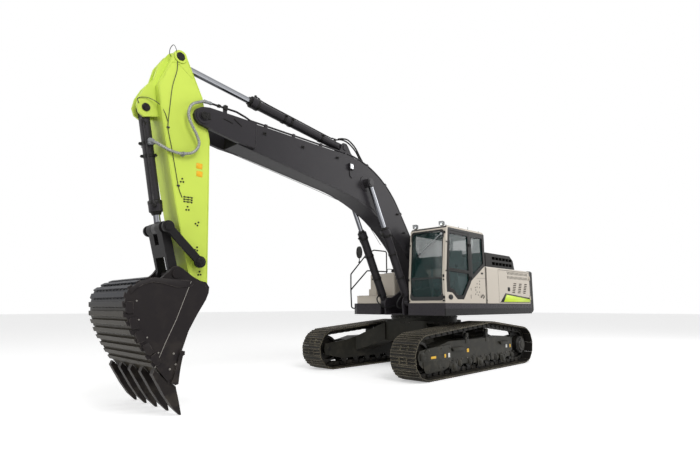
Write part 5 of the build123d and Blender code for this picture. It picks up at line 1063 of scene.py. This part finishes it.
def cheek_plate(outline, side, low, high):
    """Plate lying on the cheek: an outline (x, z) given a thickness away from the cheek's slope."""
    outline = np.asarray(outline, float)
    middle = outline.mean(0)
    sections = []
    for out, draw in ((low, 0), (high - 0.003, 0), (high, 0.003)):
        ring = outline + (middle - outline) * draw / 0.06
        sections.append(np.column_stack([ring[:, 0], side * (cheek_y(ring[:, 0], ring[:, 1]) + out),
                                         ring[:, 1]]))
    return rings(sections)


seams, shrouds, plugs = [], [], []
for side in (1, -1):
    seams.append(weld(on_cheek([(6.533, 1.752), (6.716, 1.238), (6.84, 0.957), (6.964, 0.64)], side, 0.001),
                      0.005))
    wave = [(7.282, 1.572), (7.222, 1.639), (7.144, 1.691), (7.028, 1.728), (6.87, 1.708), (6.705, 1.661),
            (6.538, 1.674)]
    rim = [(6.46, 1.748), (6.75, 1.772), (7, 1.792), (7.17, 1.738), (7.29, 1.64)]
    shrouds.append(cheek_plate(wave + rim, side, -0.002, 0.01))
    for x, z, turn in ((7.318, 1.4, 1.5), (7.262, 1.2, 1.3), (7.185, 1.03, 1.18), (7.085, 0.87, 1.05),
                       (6.985, 0.735, 0.95)):
        corner = [(-0.075, 0.055), (-0.075, -0.012), (-0.055, -0.035), (0.055, -0.035), (0.075, -0.012),
                  (0.075, 0.055)]
        shrouds.append(cheek_plate(swung(corner, x - 0.02, z, turn), side, -0.002, 0.022))
    for x, z in ((7.204, 1.483), (7.171, 1.245), (7.066, 1.021), (6.927, 0.825)):
        place = (x, side * float(cheek_y(x, z)), z)
        plugs.append(turned([(0, 0), (0.012, 0), (0.01, 0.005), (0, 0.007)], place, (0, side, 0), 12))
    for x, z in ((6.726, 0.801), (6.69, 0.66), (6.766, 0.606)):
        plugs.append(bolt((x, side * (shell_half + 0.0005), z), (0, side, 0), 0.011))
back_line = np.array([(7.02, 1.812), (7.2, 1.745), (7.335, 1.64), (7.372, 1.48), (7.35, 1.28), (7.24, 1.03),
                      (7.05, 0.74), (6.96, 0.62)])
stubs = []
# a row of weld stubs under the lower edge of each bar after the first; the bars are 124 mm apart
for at in 0.07 + np.arange(1, 12) * 0.124 + 0.036:
    (x, z), (x_on, z_on) = spots(back_line, [at, at + 0.02])
    ahead = unit((x_on - x, 0, z_on - z))
    outward = unit(np.cross((0, 1, 0), ahead))
    outward = outward if outward[0] > 0 else -outward
    for y in np.arange(-0.5, 0.51, 0.125):
        if abs(y) < cheek_y(x, z) - 0.06:
            stubs.append(slab([(-0.02, -0.006), (0.02, -0.006), (0.02, 0.01), (0.012, 0.016), (-0.012, 0.016),
                               (-0.02, 0.01)], -0.004, 0.012, np.array((x, y, z)) - outward * 0.026,
                              (0, 1, 0), ahead, outward, 0.003))
piece("bucket_stubs", stubs, trim_black, "bucket")
seam_steel = paint("seam_steel", 0x8E8A84, 0.45, 0.3, 0xA09A90, 0.1, 1.4, 0.3)
piece("bucket_seams", seams, seam_steel, "bucket")
piece("bucket_shrouds", shrouds, digging, "bucket")
piece("bucket_plugs", plugs, seam_steel, "bucket")
